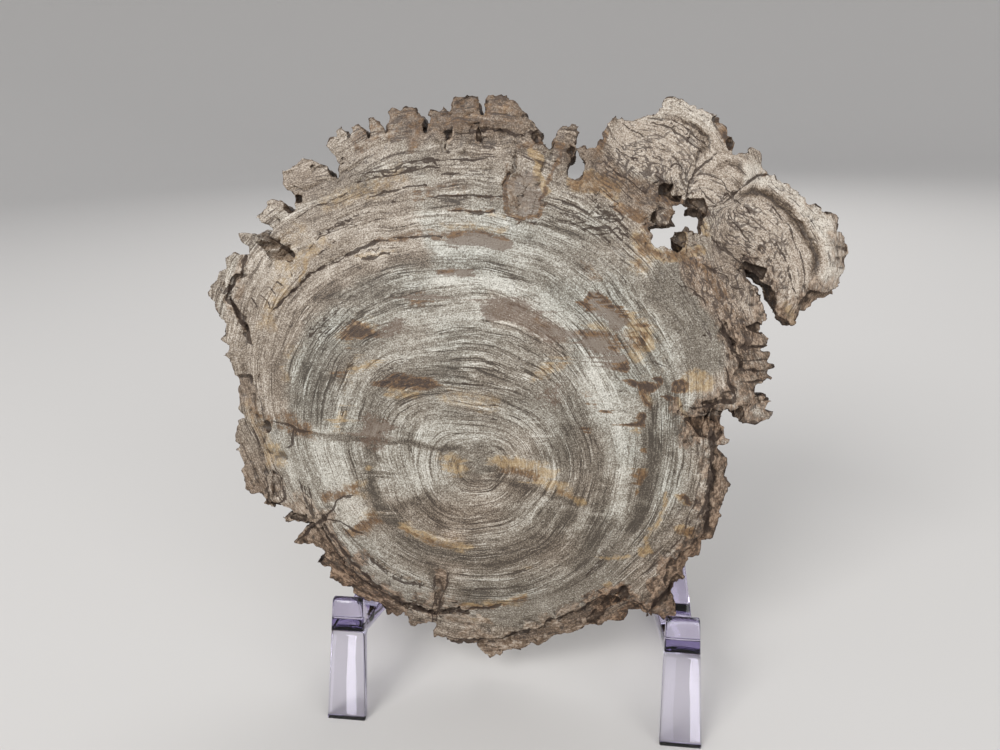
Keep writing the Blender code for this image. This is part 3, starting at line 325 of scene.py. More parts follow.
# Stains along a line: (strength, half width, points)
STREAKS = {
    "grey": [
        (0.38, 1.0, [(-84, 18), (-70.7, 17), (-60, 16.4), (-52.9, 16.2), (-45, 15.8), (-35.3, 15.2),
            (-28.4, 14.4), (-21.5, 13.6), (-11.2, 13.2)]),
        (0.2, 3.2, [(50, 9), (50.4, -10)]),
        (0.2, 1.6, [(-47, -21), (-35.5, -12.8), (-28.4, -9), (-21.5, -5.2), (-14.6, -1.5), (-6, 2.4)]),
        (0.3, 1.5, [(0, 6), (3.4, 3.5), (12, -0.4), (20.3, -2.7), (28.7, -5), (37, -8), (44, -9.4)]),
        (0.06, 3.5, [(-2, 6), (0, 7)]), (0.2, 2.6, [(36.5, 23), (42, 25)]),
        (0.34, 2.6, [(-50.7, 13.7), (-52.5, 6.6), (-51.7, -2.1), (-49.6, -9.9), (-45.2, -16.7),
            (-39.9, -22.2)]),
        (0.26, 2.2, [(64.9, -16.6), (69.1, -5.4), (70.5, 8.5), (68.4, 20.2)]),
        (0.22, 0.8, [(79.6, 16), (80.9, 11.6), (81.7, -1.2)]), (0.2, 4.0, [(-74, 80), (-68, 84)]),
        (0.16, 3.5, [(-58, 88), (-53, 90)]),
        (0.38, 1.6, [(105.5, 122), (109.2, 123.5), (116, 121.2), (122, 116.6), (127.6, 110.4),
            (132.3, 103.5), (135.2, 97.4), (135, 91.3)]),
        (0.28, 1.5, [(74, 153.8), (80.2, 153), (85, 149.8), (89.6, 145), (90, 141.3), (86.4, 138)]),
        (0.3, 1.2, [(93.8, 132), (98.2, 134.7), (102, 134.3), (105.5, 130.4), (103.8, 126.6)]),
        (0.08, 9.0, [(55, 127), (66, 116)]), (0.18, 8.0, [(97, 100), (104, 88)]),
    ],
    "pale": [
        (0.2, 3.0, [(5.9, 10.4), (12.6, 9.8), (21, 7.6), (28.5, 4.5)]),
        (0.24, 0.9, [(29.6, 9), (29.4, 1)]), (0.5, 0.4, [(2, 3.5), (2.4, 0), (1, -2.6), (-2.5, -4)]),
        (0.35, 0.5, [(17.4, 26), (22.5, 21), (26, 16), (28, 11)]),
        (0.3, 0.4, [(19.5, 27.5), (25, 22.5), (28.4, 17), (30, 11.5)]),
        (0.12, 3.0, [(-16, -26), (-10, -29)]),
        (0.36, 1.6, [(42.5, 52), (50.5, 42), (56, 31), (59.5, 18), (60, 5), (58, -9)]),
        (0.28, 0.8, [(46, 54.5), (54, 44.5), (59.6, 33), (63.2, 19), (63.4, 5), (61.4, -9)]),
        (0.3, 0.7, [(77.4, 11.4), (78.1, 4.2), (77.6, -2)]),
        (0.36, 1.2, [(-46.8, 12), (-47.7, 5), (-46.4, -2.7), (-44.6, -9)]),
        (0.25, 6.5, [(17, 127), (17, 119)]),
        (0.22, 3.6, [(108, 131), (120, 126), (131, 117), (140, 106.6), (143, 95), (140, 85)]),
        (0.16, 4.0, [(66, 156), (78, 158), (92, 152)]),
    ],
    "calm": [
        (0.6, 3.4, [(50, 9), (50.4, -10)]), (1.0, 4.5, [(-2, 6), (0, 7)]),
        (0.9, 1.6, [(-84, 18), (-70, 17.4), (-31, 14.7), (-11, 12.4)]),
        (0.9, 2.6, [(-50.7, 13.7), (-52.5, 6.6), (-51.7, -2.1), (-49.6, -9.9), (-45.2, -16.7),
            (-39.9, -22.2)]),
        (0.7, 2.6, [(64.9, -16.6), (69.1, -5.4), (70.5, 8.5), (68.4, 20.2)]),
    ],
    "warm": [
        (0.9, 3.5, [(-16, -26), (-10, -29)]), (1.0, 7.0, [(88, 92), (101, 75.6), (109, 64)]),
    ],
    "ochre": [
        (0.5, 1.4, [(-21.9, 9.5), (-18.9, 10.8)]), (0.85, 4.2, [(-15, 7), (-12.5, 5.5)]),
        (0.6, 1.6, [(-21, 9), (-20, 11)]), (0.9, 3.2, [(6, 8.6), (12.6, 8), (20, 6.5), (27, 4)]),
        (1.0, 2.0, [(24, 1), (33, -1.4), (39.5, -6), (42, -9)]),
        (0.7, 2.6, [(-44, 38), (-36, 39), (-30, 38)]),
        (1.1, 0.9, [(-68, 21.8), (-65.6, 25.3), (-63.4, 29)]),
        (1.0, 1.0, [(-60, 46), (-54, 49), (-50, 51.4)]),
        (0.9, 0.6, [(-52.4, 8), (-52, 3), (-52.6, -2)]),
        (0.9, 1.7, [(-37.3, -22.5), (-31.1, -25.7), (-23.2, -27.1), (-16.2, -30.3), (-9.3, -31.7)]),
        (0.45, 4.5, [(-18, 37), (-8, 36), (2, 34)]), (0.7, 3.0, [(22, 46), (29.5, 50.4), (35, 53)]),
        (0.9, 3.6, [(61.5, 70.4), (66, 67), (68.4, 61), (64, 56)]),
        (1.1, 1.0, [(66.6, 29), (65.6, 25), (65.7, 23)]),
        (1.1, 0.6, [(68, 18.4), (67.3, 13), (66.3, 5.6), (66.3, -3.6)]),
        (0.6, 2.4, [(68, 39), (70, 36)]), (0.8, 5.4, [(88, 46), (92, 45)]),
        (1.2, 0.9, [(81, 38.4), (84, 33.7), (84.6, 31)]), (0.8, 2.2, [(84, -4), (86, -6)]),
        (0.8, 1.0, [(77.8, -2.2), (77, -9.6), (73.8, -17.2), (71, -24)]),
        (0.9, 2.6, [(84, -18), (89, -20)]), (1.2, 2.2, [(68.6, -28.4), (71, -27.6)]),
        (0.8, 1.0, [(51.7, -32.7), (57, -31.6), (63.5, -31.2)]), (1.1, 1.2, [(53.6, -45), (55, -44.8)]),
        (0.7, 1.6, [(-56, -4), (-64, -7)]),
        (0.8, 1.0, [(-11.7, -58.4), (-1.8, -57.6), (8, -55), (18, -51.8)]),
        (1.2, 1.7, [(18.5, 141), (22.3, 138), (21.5, 131.5), (25.4, 124.8)]),
        (0.5, 1.6, [(-57, 97), (-42, 99)]), (0.4, 5.0, [(-90, 104), (-84, 108)]),
        (0.9, 1.0, [(-84, 88), (-80, 95), (-79, 100)]),
        (0.9, 2.4, [(62.3, 104.6), (66.2, 103), (69.5, 98.3), (75.7, 96.7), (81.9, 97.1), (88, 99.8)]),
        (0.9, 2.0, [(81.6, 107.6), (81.8, 101.4)]), (0.9, 1.8, [(89.9, 111.4), (90.9, 106.8)]),
        (0.8, 4.4, [(37, 127.5), (44.4, 128.2), (52.4, 124.2)]), (0.6, 2.6, [(64, 95), (65, 92)]),
        (0.5, 3.6, [(64, 106), (67, 99)]), (0.9, 2.2, [(124, 77), (128, 70)]),
    ],
    "rust": [
        (0.6, 1.8, [(7.6, 5.4), (16, 4.8), (23, 2.4)]), (0.5, 0.8, [(24, -1), (33, -3.4), (41, -8)]),
        (1.4, 2.4, [(-46, 41.3), (-39.6, 43.6), (-31, 42.4), (-24, 41.8)]),
        (0.6, 1.2, [(-42, 46), (-33, 46)]), (0.9, 0.8, [(-68, 44), (-64, 47)]),
        (0.8, 0.8, [(-56.4, 17.6), (-54.6, 20)]),
        (0.55, 0.9, [(-37, -23.6), (-31, -26.8), (-23, -28.5), (-14, -32)]),
        (0.4, 1.6, [(22.2, 71), (30.2, 65)]), (0.4, 1.4, [(24, 47), (29.5, 50.4), (35, 53)]),
        (0.9, 1.0, [(44.4, 36.7), (47, 33.4)]), (1.8, 0.7, [(44, 24.4), (44.6, 23)]),
        (2.4, 0.8, [(51.4, 32.4), (52.8, 31.6)]),
        (1.6, 0.7, [(43.6, 75), (43, 80), (45.6, 82.6), (51, 80), (56.3, 75.7), (60.1, 71.4)]),
        (1.2, 0.6, [(41.6, 65.3), (46, 65.9), (51.3, 63.8), (56.7, 58)]),
        (1.0, 1.3, [(66, 68.8), (67.2, 65.6), (66.2, 61.3)]), (1.8, 1.4, [(67.5, 30.5), (66.6, 26.6)]),
        (1.1, 0.4, [(68, 18.4), (67.3, 13), (66.3, 5.6), (66.3, -3.6)]),
        (1.8, 1.6, [(58, 52.2), (60, 51.2)]), (2.0, 1.0, [(63.4, 45.3), (65, 44)]),
        (2.2, 1.7, [(67, 43.4), (69.4, 42)]), (1.1, 1.2, [(66.7, 42), (68, 38), (70, 35)]),
        (1.7, 2.7, [(82.4, 43.6), (83.4, 43.6)]), (1.8, 1.0, [(76.8, 39.6), (80.6, 37.7)]),
        (2.4, 0.8, [(73.5, 45.5), (74.8, 45.6)]), (0.8, 2.0, [(54, 62.4), (56, 60)]),
        (1.6, 1.1, [(85.8, -3.7), (88, -7)]), (0.7, 1.8, [(84, -19.4), (89.4, -19.2)]),
        (0.6, 0.8, [(69, -28.4), (70.6, -28)]), (0.8, 0.9, [(60.6, -45), (62.4, -44.8)]),
        (0.9, 1.2, [(-60, -26.4), (-53.6, -22), (-49.6, -20)]),
        (0.7, 0.9, [(-57.5, -5.2), (-65.7, -8.6), (-74, -13)]),
        (1.0, 0.5, [(8, -55.8), (13.8, -53.6), (19, -52.6)]),
        (0.8, 0.7, [(-24.8, 105.1), (-18.5, 104.4), (-13.7, 106.8), (-7.8, 108.1), (-2.8, 107.4),
            (8.1, 105.2)]),
        (0.7, 0.8, [(-20.3, 91.3), (-14, 91.4)]), (0.6, 0.7, [(-32.4, 78.4), (-30.4, 81), (-24.8, 82)]),
        (0.9, 1.0, [(8.4, 136), (8, 123), (9.5, 115.5), (15, 112.6), (21.7, 114.4), (24.5, 119.2)]),
        (0.9, 0.8, [(23, 122), (28, 132), (32, 143)]),
        (0.7, 0.6, [(-33, 120.7), (-24, 122.5), (-15, 123.4), (-5, 122.8), (6, 121.7)]),
        (0.7, 0.6, [(-15, 116.6), (4, 116)]),
        (0.6, 0.8, [(-49, 104.4), (-41, 105.4), (-30, 105.4), (-19, 106.4), (-9, 107)]),
        (1.0, 1.1, [(-31.6, 78.6), (-28, 80.6)]), (0.5, 1.6, [(-34, 141), (-30, 148), (-29, 156)]),
        (0.6, 1.6, [(14, 143), (24, 146), (30, 142)]), (1.0, 0.6, [(112, 130), (116.4, 131.4)]),
        (0.7, 2.0, [(47.7, 143.7), (49, 148)]), (1.0, 1.6, [(95, 152.5), (98, 144), (100.3, 141)]),
        (0.7, 1.3, [(62.3, 104.6), (66.2, 103), (69.5, 98.3), (75.7, 96.7), (81.9, 97.1), (88, 99.8)]),
        (0.8, 1.6, [(75.3, 113.9), (79, 116.2)]),
        (0.9, 1.4, [(71.9, 122.4), (76.6, 119.3), (82, 119.2), (86, 116.1), (90.6, 115.3)]),
        (0.55, 3.8, [(37, 127.5), (44.4, 128.2), (52.4, 124.2)]), (0.45, 2.0, [(64, 95), (65, 92)]),
        (0.6, 2.4, [(65.4, 104.6), (67, 99)]), (0.6, 1.6, [(75, 98), (82, 96.4)]),
        (0.6, 2.0, [(121, 76), (126, 68)]), (0.35, 5.0, [(90, 88), (100, 76), (108, 66)]),
        (0.7, 3.6, [(88, 28), (102, 28)]), (0.7, 2.2, [(55, 118), (64, 113), (72, 106)]),
        (0.6, 2.4, [(76, 99), (90, 93), (100, 80)]),
    ],
    "patch": [
        (0.9, 1.9, [(-55, 18.6), (-49.3, 20.6), (-45, 22.6)]),
        (0.55, 4.2, [(2.4, 75), (9.3, 75.5), (15.3, 73.5), (22.2, 69), (30, 64)]),
        (1.0, 3.8, [(46.1, 79), (50, 75.6), (55.4, 70.9)]),
        (1.0, 3.6, [(45, 62.6), (50.3, 58.8), (56, 53.6)]),
        (0.9, 2.8, [(-15, 103.8), (-8, 104.8), (0, 104), (8, 102.8)]),
        (0.9, 1.3, [(-20.3, 91), (-13.7, 90.6), (-6.7, 89.6)]), (0.65, 6.6, [(16, 127), (17, 119)]),
        (0.9, 1.6, [(-31, 79), (-25, 81)]),
    ],
    "bark": [
        (1.0, 3.4, [(95, -19), (89, -27.5), (84, -33.3), (79.8, -40), (73.7, -44.2)]),
        (0.7, 2.0, [(99, 22), (99.6, 10), (99, 0), (98, -10), (98, -18)]),
        (0.7, 2.2, [(103, 66), (107, 58), (110, 50), (108, 42)]),
        (1.0, 3.0, [(-19.4, -44.6), (-19.8, -48.6)]), (0.8, 1.6, [(-21, -53), (-22.4, -62)]),
        (0.9, 1.2, [(-1.8, -62.4), (2.2, -64.2)]), (0.8, 0.9, [(-3.6, -67), (-2, -68)]),
        (0.8, 1.4, [(-88, -15), (-84, -17)]),
        (0.8, 2.2, [(-80, -26), (-75, -33), (-70, -40), (-64, -47)]),
        (0.5, 2.2, [(11, 133), (10.6, 124), (12, 117)]), (0.8, 1.5, [(-15.8, 146), (-15, 149)]),
        (0.8, 1.5, [(-4.5, 145.8), (-4.2, 149)]), (0.5, 1.8, [(-12, 151), (-1, 152.4), (8, 152)]),
        (0.6, 2.4, [(-110, 96), (-113, 88), (-112, 80)]),
        (0.6, 1.4, [(-119, 79), (-112.5, 69.6), (-107.3, 59.3)]),
    ],
    "crackle": [
        (1.0, 10.0, [(58, 134), (70, 133), (79, 128)]), (1.0, 11.0, [(99, 112), (107, 101), (113, 88)]),
        (0.8, 7.0, [(112, 112), (119, 98)]), (0.7, 5.0, [(70, 145), (84, 140)]),
        (1.0, 6.0, [(88, 93), (100, 78), (108, 62)]), (0.8, 5.0, [(50, 134), (62, 124), (72, 112)]),
    ],
}


def linear(colour):
    """A hex sRGB colour as linear values."""
    values = [int(colour[i:i + 2], 16) / 255 for i in (1, 3, 5)]
    return [v / 12.92 if v <= 0.04045 else ((v + 0.055) / 1.055) ** 2.4 for v in values] + [1.0]


def add(tree, kind, inputs=(), **settings):
    """Adds a shader node with its settings. Its inputs come in order, or by name or number: each is
    a value, a hex colour, a socket to link, or a node whose first output is linked."""
    node = tree.nodes.new("ShaderNode" + kind)
    for name, value in settings.items():
        setattr(node, name, value)
    for name, value in inputs.items() if isinstance(inputs, dict) else enumerate(inputs):
        if isinstance(value, bpy.types.Node):
            value = next(output for output in value.outputs if output.enabled)
        if isinstance(value, bpy.types.NodeSocket):
            tree.links.new(value, node.inputs[name])
        else:
            node.inputs[name].default_value = linear(value) if isinstance(value, str) else value
    return node


def value_noise(points, size, number):
    """Smooth noise from -1 to 1 with lumps of the given size, at each row of points. Each number
    gives another noise."""
    scaled = points / size
    cell = np.floor(scaled).astype(np.int64)
    part = scaled - cell
    part = part * part * part * (part * (part * 6 - 15) + 10)
    total = np.zeros(len(points))
    for corner in range(8):
        step = np.array([corner & 1, (corner >> 1) & 1, (corner >> 2) & 1])
        place = (cell + step).astype(np.uint32)
        mixed = place[:, 0] * np.uint32(0x9E3779B1) ^ place[:, 1] * np.uint32(0x85EBCA77)
        mixed ^= place[:, 2] * np.uint32(0xC2B2AE3D) + np.uint32((SEED + number) * 7919)
        mixed ^= mixed >> np.uint32(15)
        mixed = mixed * np.uint32(0x2C1B3C6D)
        mixed ^= mixed >> np.uint32(13)
        mixed = mixed * np.uint32(0x297A2D39)
        mixed ^= mixed >> np.uint32(16)
        weight = np.prod(np.where(step == 1, part, 1 - part), axis=1)
        total += weight * (mixed / 2147483647.5 - 1)
    return total


def smooth(low, high, values):
    """0 below low, 1 above high and an even curve between."""
    share = np.clip((values - low) / (high - low), 0, 1)
    return share * share * (3 - 2 * share)


def at_angle(steps, angle):
    """The value at each angle, on a smooth closed curve through values at equal steps of angle."""
    steps = np.array(steps, float)
    count = len(steps)
    turn = (angle / (2 * math.pi) * count) % count
    first = np.floor(turn).astype(int)
    t = turn - first
    p0, p1, p2, p3 = (steps[(first + i) % count] for i in (-1, 0, 1, 2))
    return p1 + 0.5 * t * (p2 - p0 + t * (2 * p0 - 5 * p1 + 4 * p2 - p3 + t * (3 * (p1 - p2) + p3 - p0)))


def ring_field(flat):
    """Which growth ring each point of the face lies on, as a ring number of about a millimetre."""
    x, y = flat[:, 0], flat[:, 1]
    near_pith = 1 - smooth(4.0, 34.0, np.hypot(x, y))
    x, y = x - PITH_OFF[0] * near_pith, y - PITH_OFF[1] * near_pith
    angle = np.arctan2(y, x)
    reach = np.hypot(x, y)
    ring = np.zeros(len(flat))
    low, inner = 0.0, np.zeros(len(flat))
    for high, guide in GUIDE_RINGS:
        outer = at_angle(guide, angle)
        between = low + (high - low) * (reach - inner) / (outer - inner)
        ring = np.where(reach >= inner, between, ring)
        low, inner = high, outer
    for centre, place, half, start in SIDE_GROWTH:
        apart = np.hypot((x - place[0]) / half[0], (y - place[1]) / half[1])
        share = 1 - smooth(0.75, 1.1, apart)
        side = start + np.hypot(x - centre[0], y - centre[1])
        ring = ring + (side - ring) * share
    broad = value_noise(flat, 34.0, 1) * 1.4 + value_noise(flat, 13.0, 2) * 0.7
    fine = value_noise(flat, 4.5, 3) * 0.2
    rough = smooth(80, 112, ring)
    return ring + broad * smooth(6, 40, reach) + fine + value_noise(flat, 6.0, 4) * 0.6 * rough


def line_distance(flat, points):
    """Distance of each point of the face from a line through the given points, above zero on its
    left and below zero on its right."""
    x, y = flat[:, 0], flat[:, 1]
    nearest = np.full(len(flat), 1e3)
    for (ax, ay), (bx, by) in zip(points, points[1:]):
        dx, dy = bx - ax, by - ay
        share = np.clip(((x - ax) * dx + (y - ay) * dy) / (dx * dx + dy * dy), 0, 1)
        apart = np.hypot(x - ax - share * dx, y - ay - share * dy)
        side = np.where(dx * (y - ay) < dy * (x - ax), -1.0, 1.0)
        nearest = np.where(apart < np.abs(nearest), apart * side, nearest)
    return nearest


def flat_of(points):
    """The points dropped on the face."""
    return points * np.array([1.0, 1.0, 0.0])


def near(points, x, y, reach):
    """1 at a place on the face and 0 past the reach, with an even curve between."""
    return 1 - smooth(0.6 * reach, reach, np.hypot(points[:, 0] - x, points[:, 1] - y))


def wandered(flat, size, reach, number):
    """The points moved about on the face, so that what is measured from them gets a ragged edge."""
    moved = flat.copy()
    moved[:, 0] += value_noise(flat, size, number) * reach
    moved[:, 1] += value_noise(flat, size, number + 1) * reach
    return moved


def within_angles(flat, first, last):
    """How far inside two angles from the pith each point lies, in millimetres."""
    turned = np.degrees(np.arctan2(flat[:, 1], flat[:, 0])) - (first + last) / 2
    turned = (turned + 180) % 360 - 180
    return np.radians((last - first) / 2 - np.abs(turned)) * np.hypot(flat[:, 0], flat[:, 1])


def open_lines(flat, ring):
    """The open lines in the face: how deep they cut at each point, how far the nearest one lies to
    one side or the other, and half its width there, which is below zero where none is near."""
    moved = wandered(wandered(flat, 5.0, 0.7, 5), 1.6, 0.35, 9)
    broken = value_noise(flat, 3.2, 7)
    drawn_out = np.stack([flat[:, 0] / 3.0, flat[:, 1] / 3.0, ring], axis=1)
    broken_ring = value_noise(drawn_out, 1.6, 30)
    ring_wander = value_noise(flat, 11.0, 31) * 0.9
    depth = np.zeros(len(flat))
    lines = []
    for half, deep, points in OPEN_LINES:
        across = line_distance(moved, points)
        half = half * (1.0 + 0.9 * broken)
        lines.append((across, half))
        share = 1 - smooth(0.0, 2.0, np.abs(across) / np.maximum(half, 0.1))
        depth = np.maximum(depth, (deep - 0.5) * share)
    for middle, first, last, half, share in RING_LINES:
        ends = smooth(-1.0, 2.5, within_angles(flat, first, last))
        half = np.minimum(half * (0.6 * share + 0.6 * broken_ring) * ends, 0.35)
        lines.append((ring - middle + ring_wander, half - 1.5 * (1 - ends)))
    nearest, side, width = (np.full(len(flat), value) for value in (-1.3, 2.0, -1.0))
    for across, half in lines:
        inside = half - np.abs(across)
        side = np.where(inside > nearest, across, side)
        width = np.where(inside > nearest, half, width)
        nearest = np.maximum(nearest, inside)
    return depth, side, width


def recesses(flat):
    """How deep the face has broken away at each point, and how surely it has."""
    moved = wandered(wandered(flat, 6.0, 1.4, 70), 2.5, 0.8, 73)
    depth, share = np.zeros(len(flat)), np.zeros(len(flat))
    for half, deep, points in RECESSES:
        inside = 1 - smooth(0.75, 1.1, np.abs(line_distance(moved, points)) / half)
        depth = np.maximum(depth, deep * inside)
        share = np.maximum(share, inside)
    return depth, share


def stain_fields(flat, ring):
    """How strongly each tint lies at each point, and how dark the ground is there."""
    x, y = flat[:, 0], flat[:, 1]
    fields = {tint: np.zeros(len(flat)) for tint in STREAKS}
    moved = wandered(wandered(flat, 10.0, 2.4, 20), 3.6, 1.3, 23)
    ragged_ring = ring + value_noise(flat, 8.0, 26) * 1.3 + value_noise(flat, 3.0, 27) * 0.7
    lobe = smooth(0.8, 1.15, 2 - np.minimum.reduce([
        np.hypot((x - px) / (hx * 1.1), (y - py) / (hy * 1.1))
        for _, (px, py), (hx, hy), _ in SIDE_GROWTH
    ]))
    for tint, patches in PATCHES.items():
        for strength, (first, last), (low, high) in patches:
            inside = (high - low) / 2 - np.abs(ragged_ring - (low + high) / 2)
            if last - first < 360:
                inside = np.minimum(inside, within_angles(moved, first, last) * 0.8)
            soft = min(2.6, 0.6 + 0.3 * (high - low))
            laid = strength * smooth(-soft, soft, inside) * (1 - lobe)
            fields[tint] = np.maximum(fields[tint], laid)
    little_moved = wandered(wandered(flat, 7.0, 0.9, 33), 2.6, 0.5, 36)
    for tint, streaks in STREAKS.items():
        for strength, half, points in streaks:
            inside = half - np.abs(line_distance(little_moved, points))
            soft = 0.25 + 0.22 * half
            fields[tint] = np.maximum(fields[tint], strength * smooth(-soft, soft, inside))

    low_side = 1 - smooth(-35, 25, y)
    broad = value_noise(flat, 24.0, 40) * 0.07 + value_noise(flat, 9.0, 41) * 0.06
    shade = np.interp(ring, *RING_SHADE) + low_side * 0.09 + broad
    shade = shade + (LOBE_SHADE - shade) * lobe
    fields["calm"] = np.maximum(fields["calm"], np.minimum(1.6 * fields["pale"], 0.6))
    shade = shade + fields.pop("grey") - 0.8 * fields.pop("pale")
    warmth = np.interp(ring, *RING_WARMTH)
    warmth = warmth + low_side * 0.25 + value_noise(flat, 16.0, 42) * 0.2
    warmth = np.maximum(warmth, lobe * LOBE_WARMTH)
    warmth = warmth + (CALM_WARMTH - warmth) * fields["calm"]
    fields["shade"] = shade
    fields["warm"] = np.clip(np.maximum(warmth, fields["warm"]), 0, 1)
    outer_calm = smooth(96, 112, ring) * 0.45
    fields["calm"] = np.maximum.reduce([fields["calm"], lobe * LOBE_CALM, outer_calm])
    return fields


def coordinates(mesh):
    """Where the mesh's points lie, one row each."""
    values = np.empty(len(mesh.vertices) * 3, np.float32)
    mesh.vertices.foreach_get("co", values)
    return values.reshape(-1, 3).astype(float)


def normals(mesh):
    """Which way the surface faces at each of the mesh's points."""
    values = np.empty(len(mesh.vertices) * 3, np.float32)
    mesh.vertex_normals.foreach_get("vector", values)
    return values.reshape(-1, 3).astype(float)


def modified(mesh, kind, weights=None, **settings):
    """The mesh after one modifier, with weights as the vertex group that it may read."""
    holder = bpy.data.objects.new("holder", mesh)
    bpy.context.scene.collection.objects.link(holder)
    modifier = holder.modifiers.new(kind.lower(), kind)
    if weights is not None:
        group = holder.vertex_groups.new(name="weights")
        for weight in np.unique(weights):
            group.add(np.nonzero(weights == weight)[0].tolist(), float(weight), "REPLACE")
        modifier.vertex_group = "weights"
    for name, value in settings.items():
        setattr(modifier, name, value)
    evaluated = holder.evaluated_get(bpy.context.evaluated_depsgraph_get())
    made = bpy.data.meshes.new_from_object(evaluated)
    bpy.data.objects.remove(holder)
    bpy.data.meshes.remove(mesh)
    return made


def merged_copy(node, weld=0.00001):
    """A copy of a solid's mesh with its loose triangles joined."""
    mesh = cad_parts[node].data.copy()
    mesh.materials.clear()
    shape = bmesh.new()
    shape.from_mesh(mesh)
    bmesh.ops.remove_doubles(shape, verts=shape.verts, dist=weld)
    shape.to_mesh(mesh)
    shape.free()
    return mesh


def rim_distance(points, normal):
    """Distance of each point from the rim's walls, across the face."""
    wall = np.nonzero(np.abs(normal[:, 2]) < 0.5)[0]
    tree = kdtree.KDTree(len(wall[::3]))
    for index in wall[::3]:
        tree.insert((points[index, 0], points[index, 1], 0.0), int(index))
    tree.balance()
    return np.array([tree.find((x, y, 0.0))[2] for x, y in points[:, :2]])


def weathered(points, normal):
    """The slice's points, worn and broken as the stone is."""
    flat = flat_of(points)
    ring = ring_field(flat)
    rim = rim_distance(points, normal)
    front = smooth(0.5, 0.9, normal[:, 2]) * smooth(-7.5, -5.5, points[:, 2])
    back = smooth(0.5, 0.9, -normal[:, 2])
    wall = 1 - smooth(0.3, 0.8, np.abs(normal[:, 2]))
    moved = points.copy()
    # Edges wander, as those of broken stone do
    near_rim = 1 - smooth(4.0, 18.0, rim)
    free, pitted = np.ones(len(points)), np.zeros(len(points))
    for x, y, clear in HELD:
        free = np.minimum(free, 1 - near(points, x, y, clear))
    for place in RAGGED_PITS:
        pitted += near(points, *place)
    for axis in (0, 1):
        wander = value_noise(points * [1, 1, 0.5], 4.2, 8 + axis) * (0.3 + 0.8 * free)
        wander += value_noise(points * [1, 1, 0.5], 1.7, 10 + axis) * (0.2 + 0.4 * free)
        wander += value_noise(points * [1, 1, 0.3], 5.0, 60 + axis) * 2.8 * pitted
        wander += value_noise(points * [1, 1, 0.3], 2.4, 62 + axis) * 1.1 * pitted
        moved[:, axis] += wander * near_rim
    bark_rough = at_angle(BARK_ROUGHNESS, np.arctan2(points[:, 1], points[:, 0]))
    # Bark on the walls: splintered grain that runs through the thickness
    through = points * [1, 1, 0.14]
    grain = value_noise(through, 1.3, 12) * 0.5 + value_noise(through, 2.9, 13) * 0.7
    chips = smooth(0.05, 0.6, value_noise(points, 4.2, 14)) * 0.9
    depth = wall * (0.45 + (grain * 0.55 + chips) * (0.45 + 0.65 * bark_rough))
    # The face: open ring lines, and pocked bark near the rim
    lines, _, _ = open_lines(flat, ring)
    broken = recesses(flat)[0] * (0.75 + 0.5 * value_noise(points, 3.0, 18))
    ringed = flat / 9.0
    ringed[:, 2] = ring / 1.5
    split = smooth(0.42, 0.72, value_noise(ringed, 1.0, 15)) * smooth(74, 100, ring)
    bark = smooth(0.1, 0.65, value_noise(points, 2.3, 16)) * (1 - smooth(2.0, 10.0, rim))
    worn = smooth(0.0, 0.8, value_noise(points, 7.0, 17)) * (1 - smooth(1.0, 8.0, rim))
    depth = depth + front * (lines + broken + split * 0.4 + (bark * 0.9 + worn * 0.8) * bark_rough)
    depth = depth + back * (split * 0.4 + (bark * 0.6 + worn * 0.5) * bark_rough)
    # The knot is filled from the front
    from_knot = np.hypot(points[:, 0] - KNOT[0], points[:, 1] - KNOT[1])
    healed = KNOT_HEALED * (1 - smooth(*KNOT_REACH, from_knot))
    moved[:, 2] = np.where(moved[:, 2] > -0.5 * THICKNESS, moved[:, 2] * (1 - healed), moved[:, 2])
    return moved - normal * depth[:, None]


def hollows(mesh, rounds):
    """How far each point lies below the even surface of its surroundings, in millimetres."""
    points, normal = coordinates(mesh), normals(mesh)
    ends = np.empty(len(mesh.edges) * 2, np.int32)
    mesh.edges.foreach_get("vertices", ends)
    first, second = ends[0::2], ends[1::2]
    count = np.maximum(np.bincount(ends, minlength=len(points)), 1)[:, None]
    even = points
    for _ in range(rounds):
        total = np.stack([
            np.bincount(first, even[second, axis], len(points))
            + np.bincount(second, even[first, axis], len(points))
            for axis in range(3)
        ], axis=1)
        even = 0.5 * even + 0.5 * total / count
    return np.sum((even - points) * normal, axis=1)


def keep(mesh, name, values):
    """Stores one value for each point on the mesh, for the material to read."""
    attribute = mesh.attributes.new(name, "FLOAT", "POINT")
    attribute.data.foreach_set("value", np.asarray(values, np.float32))


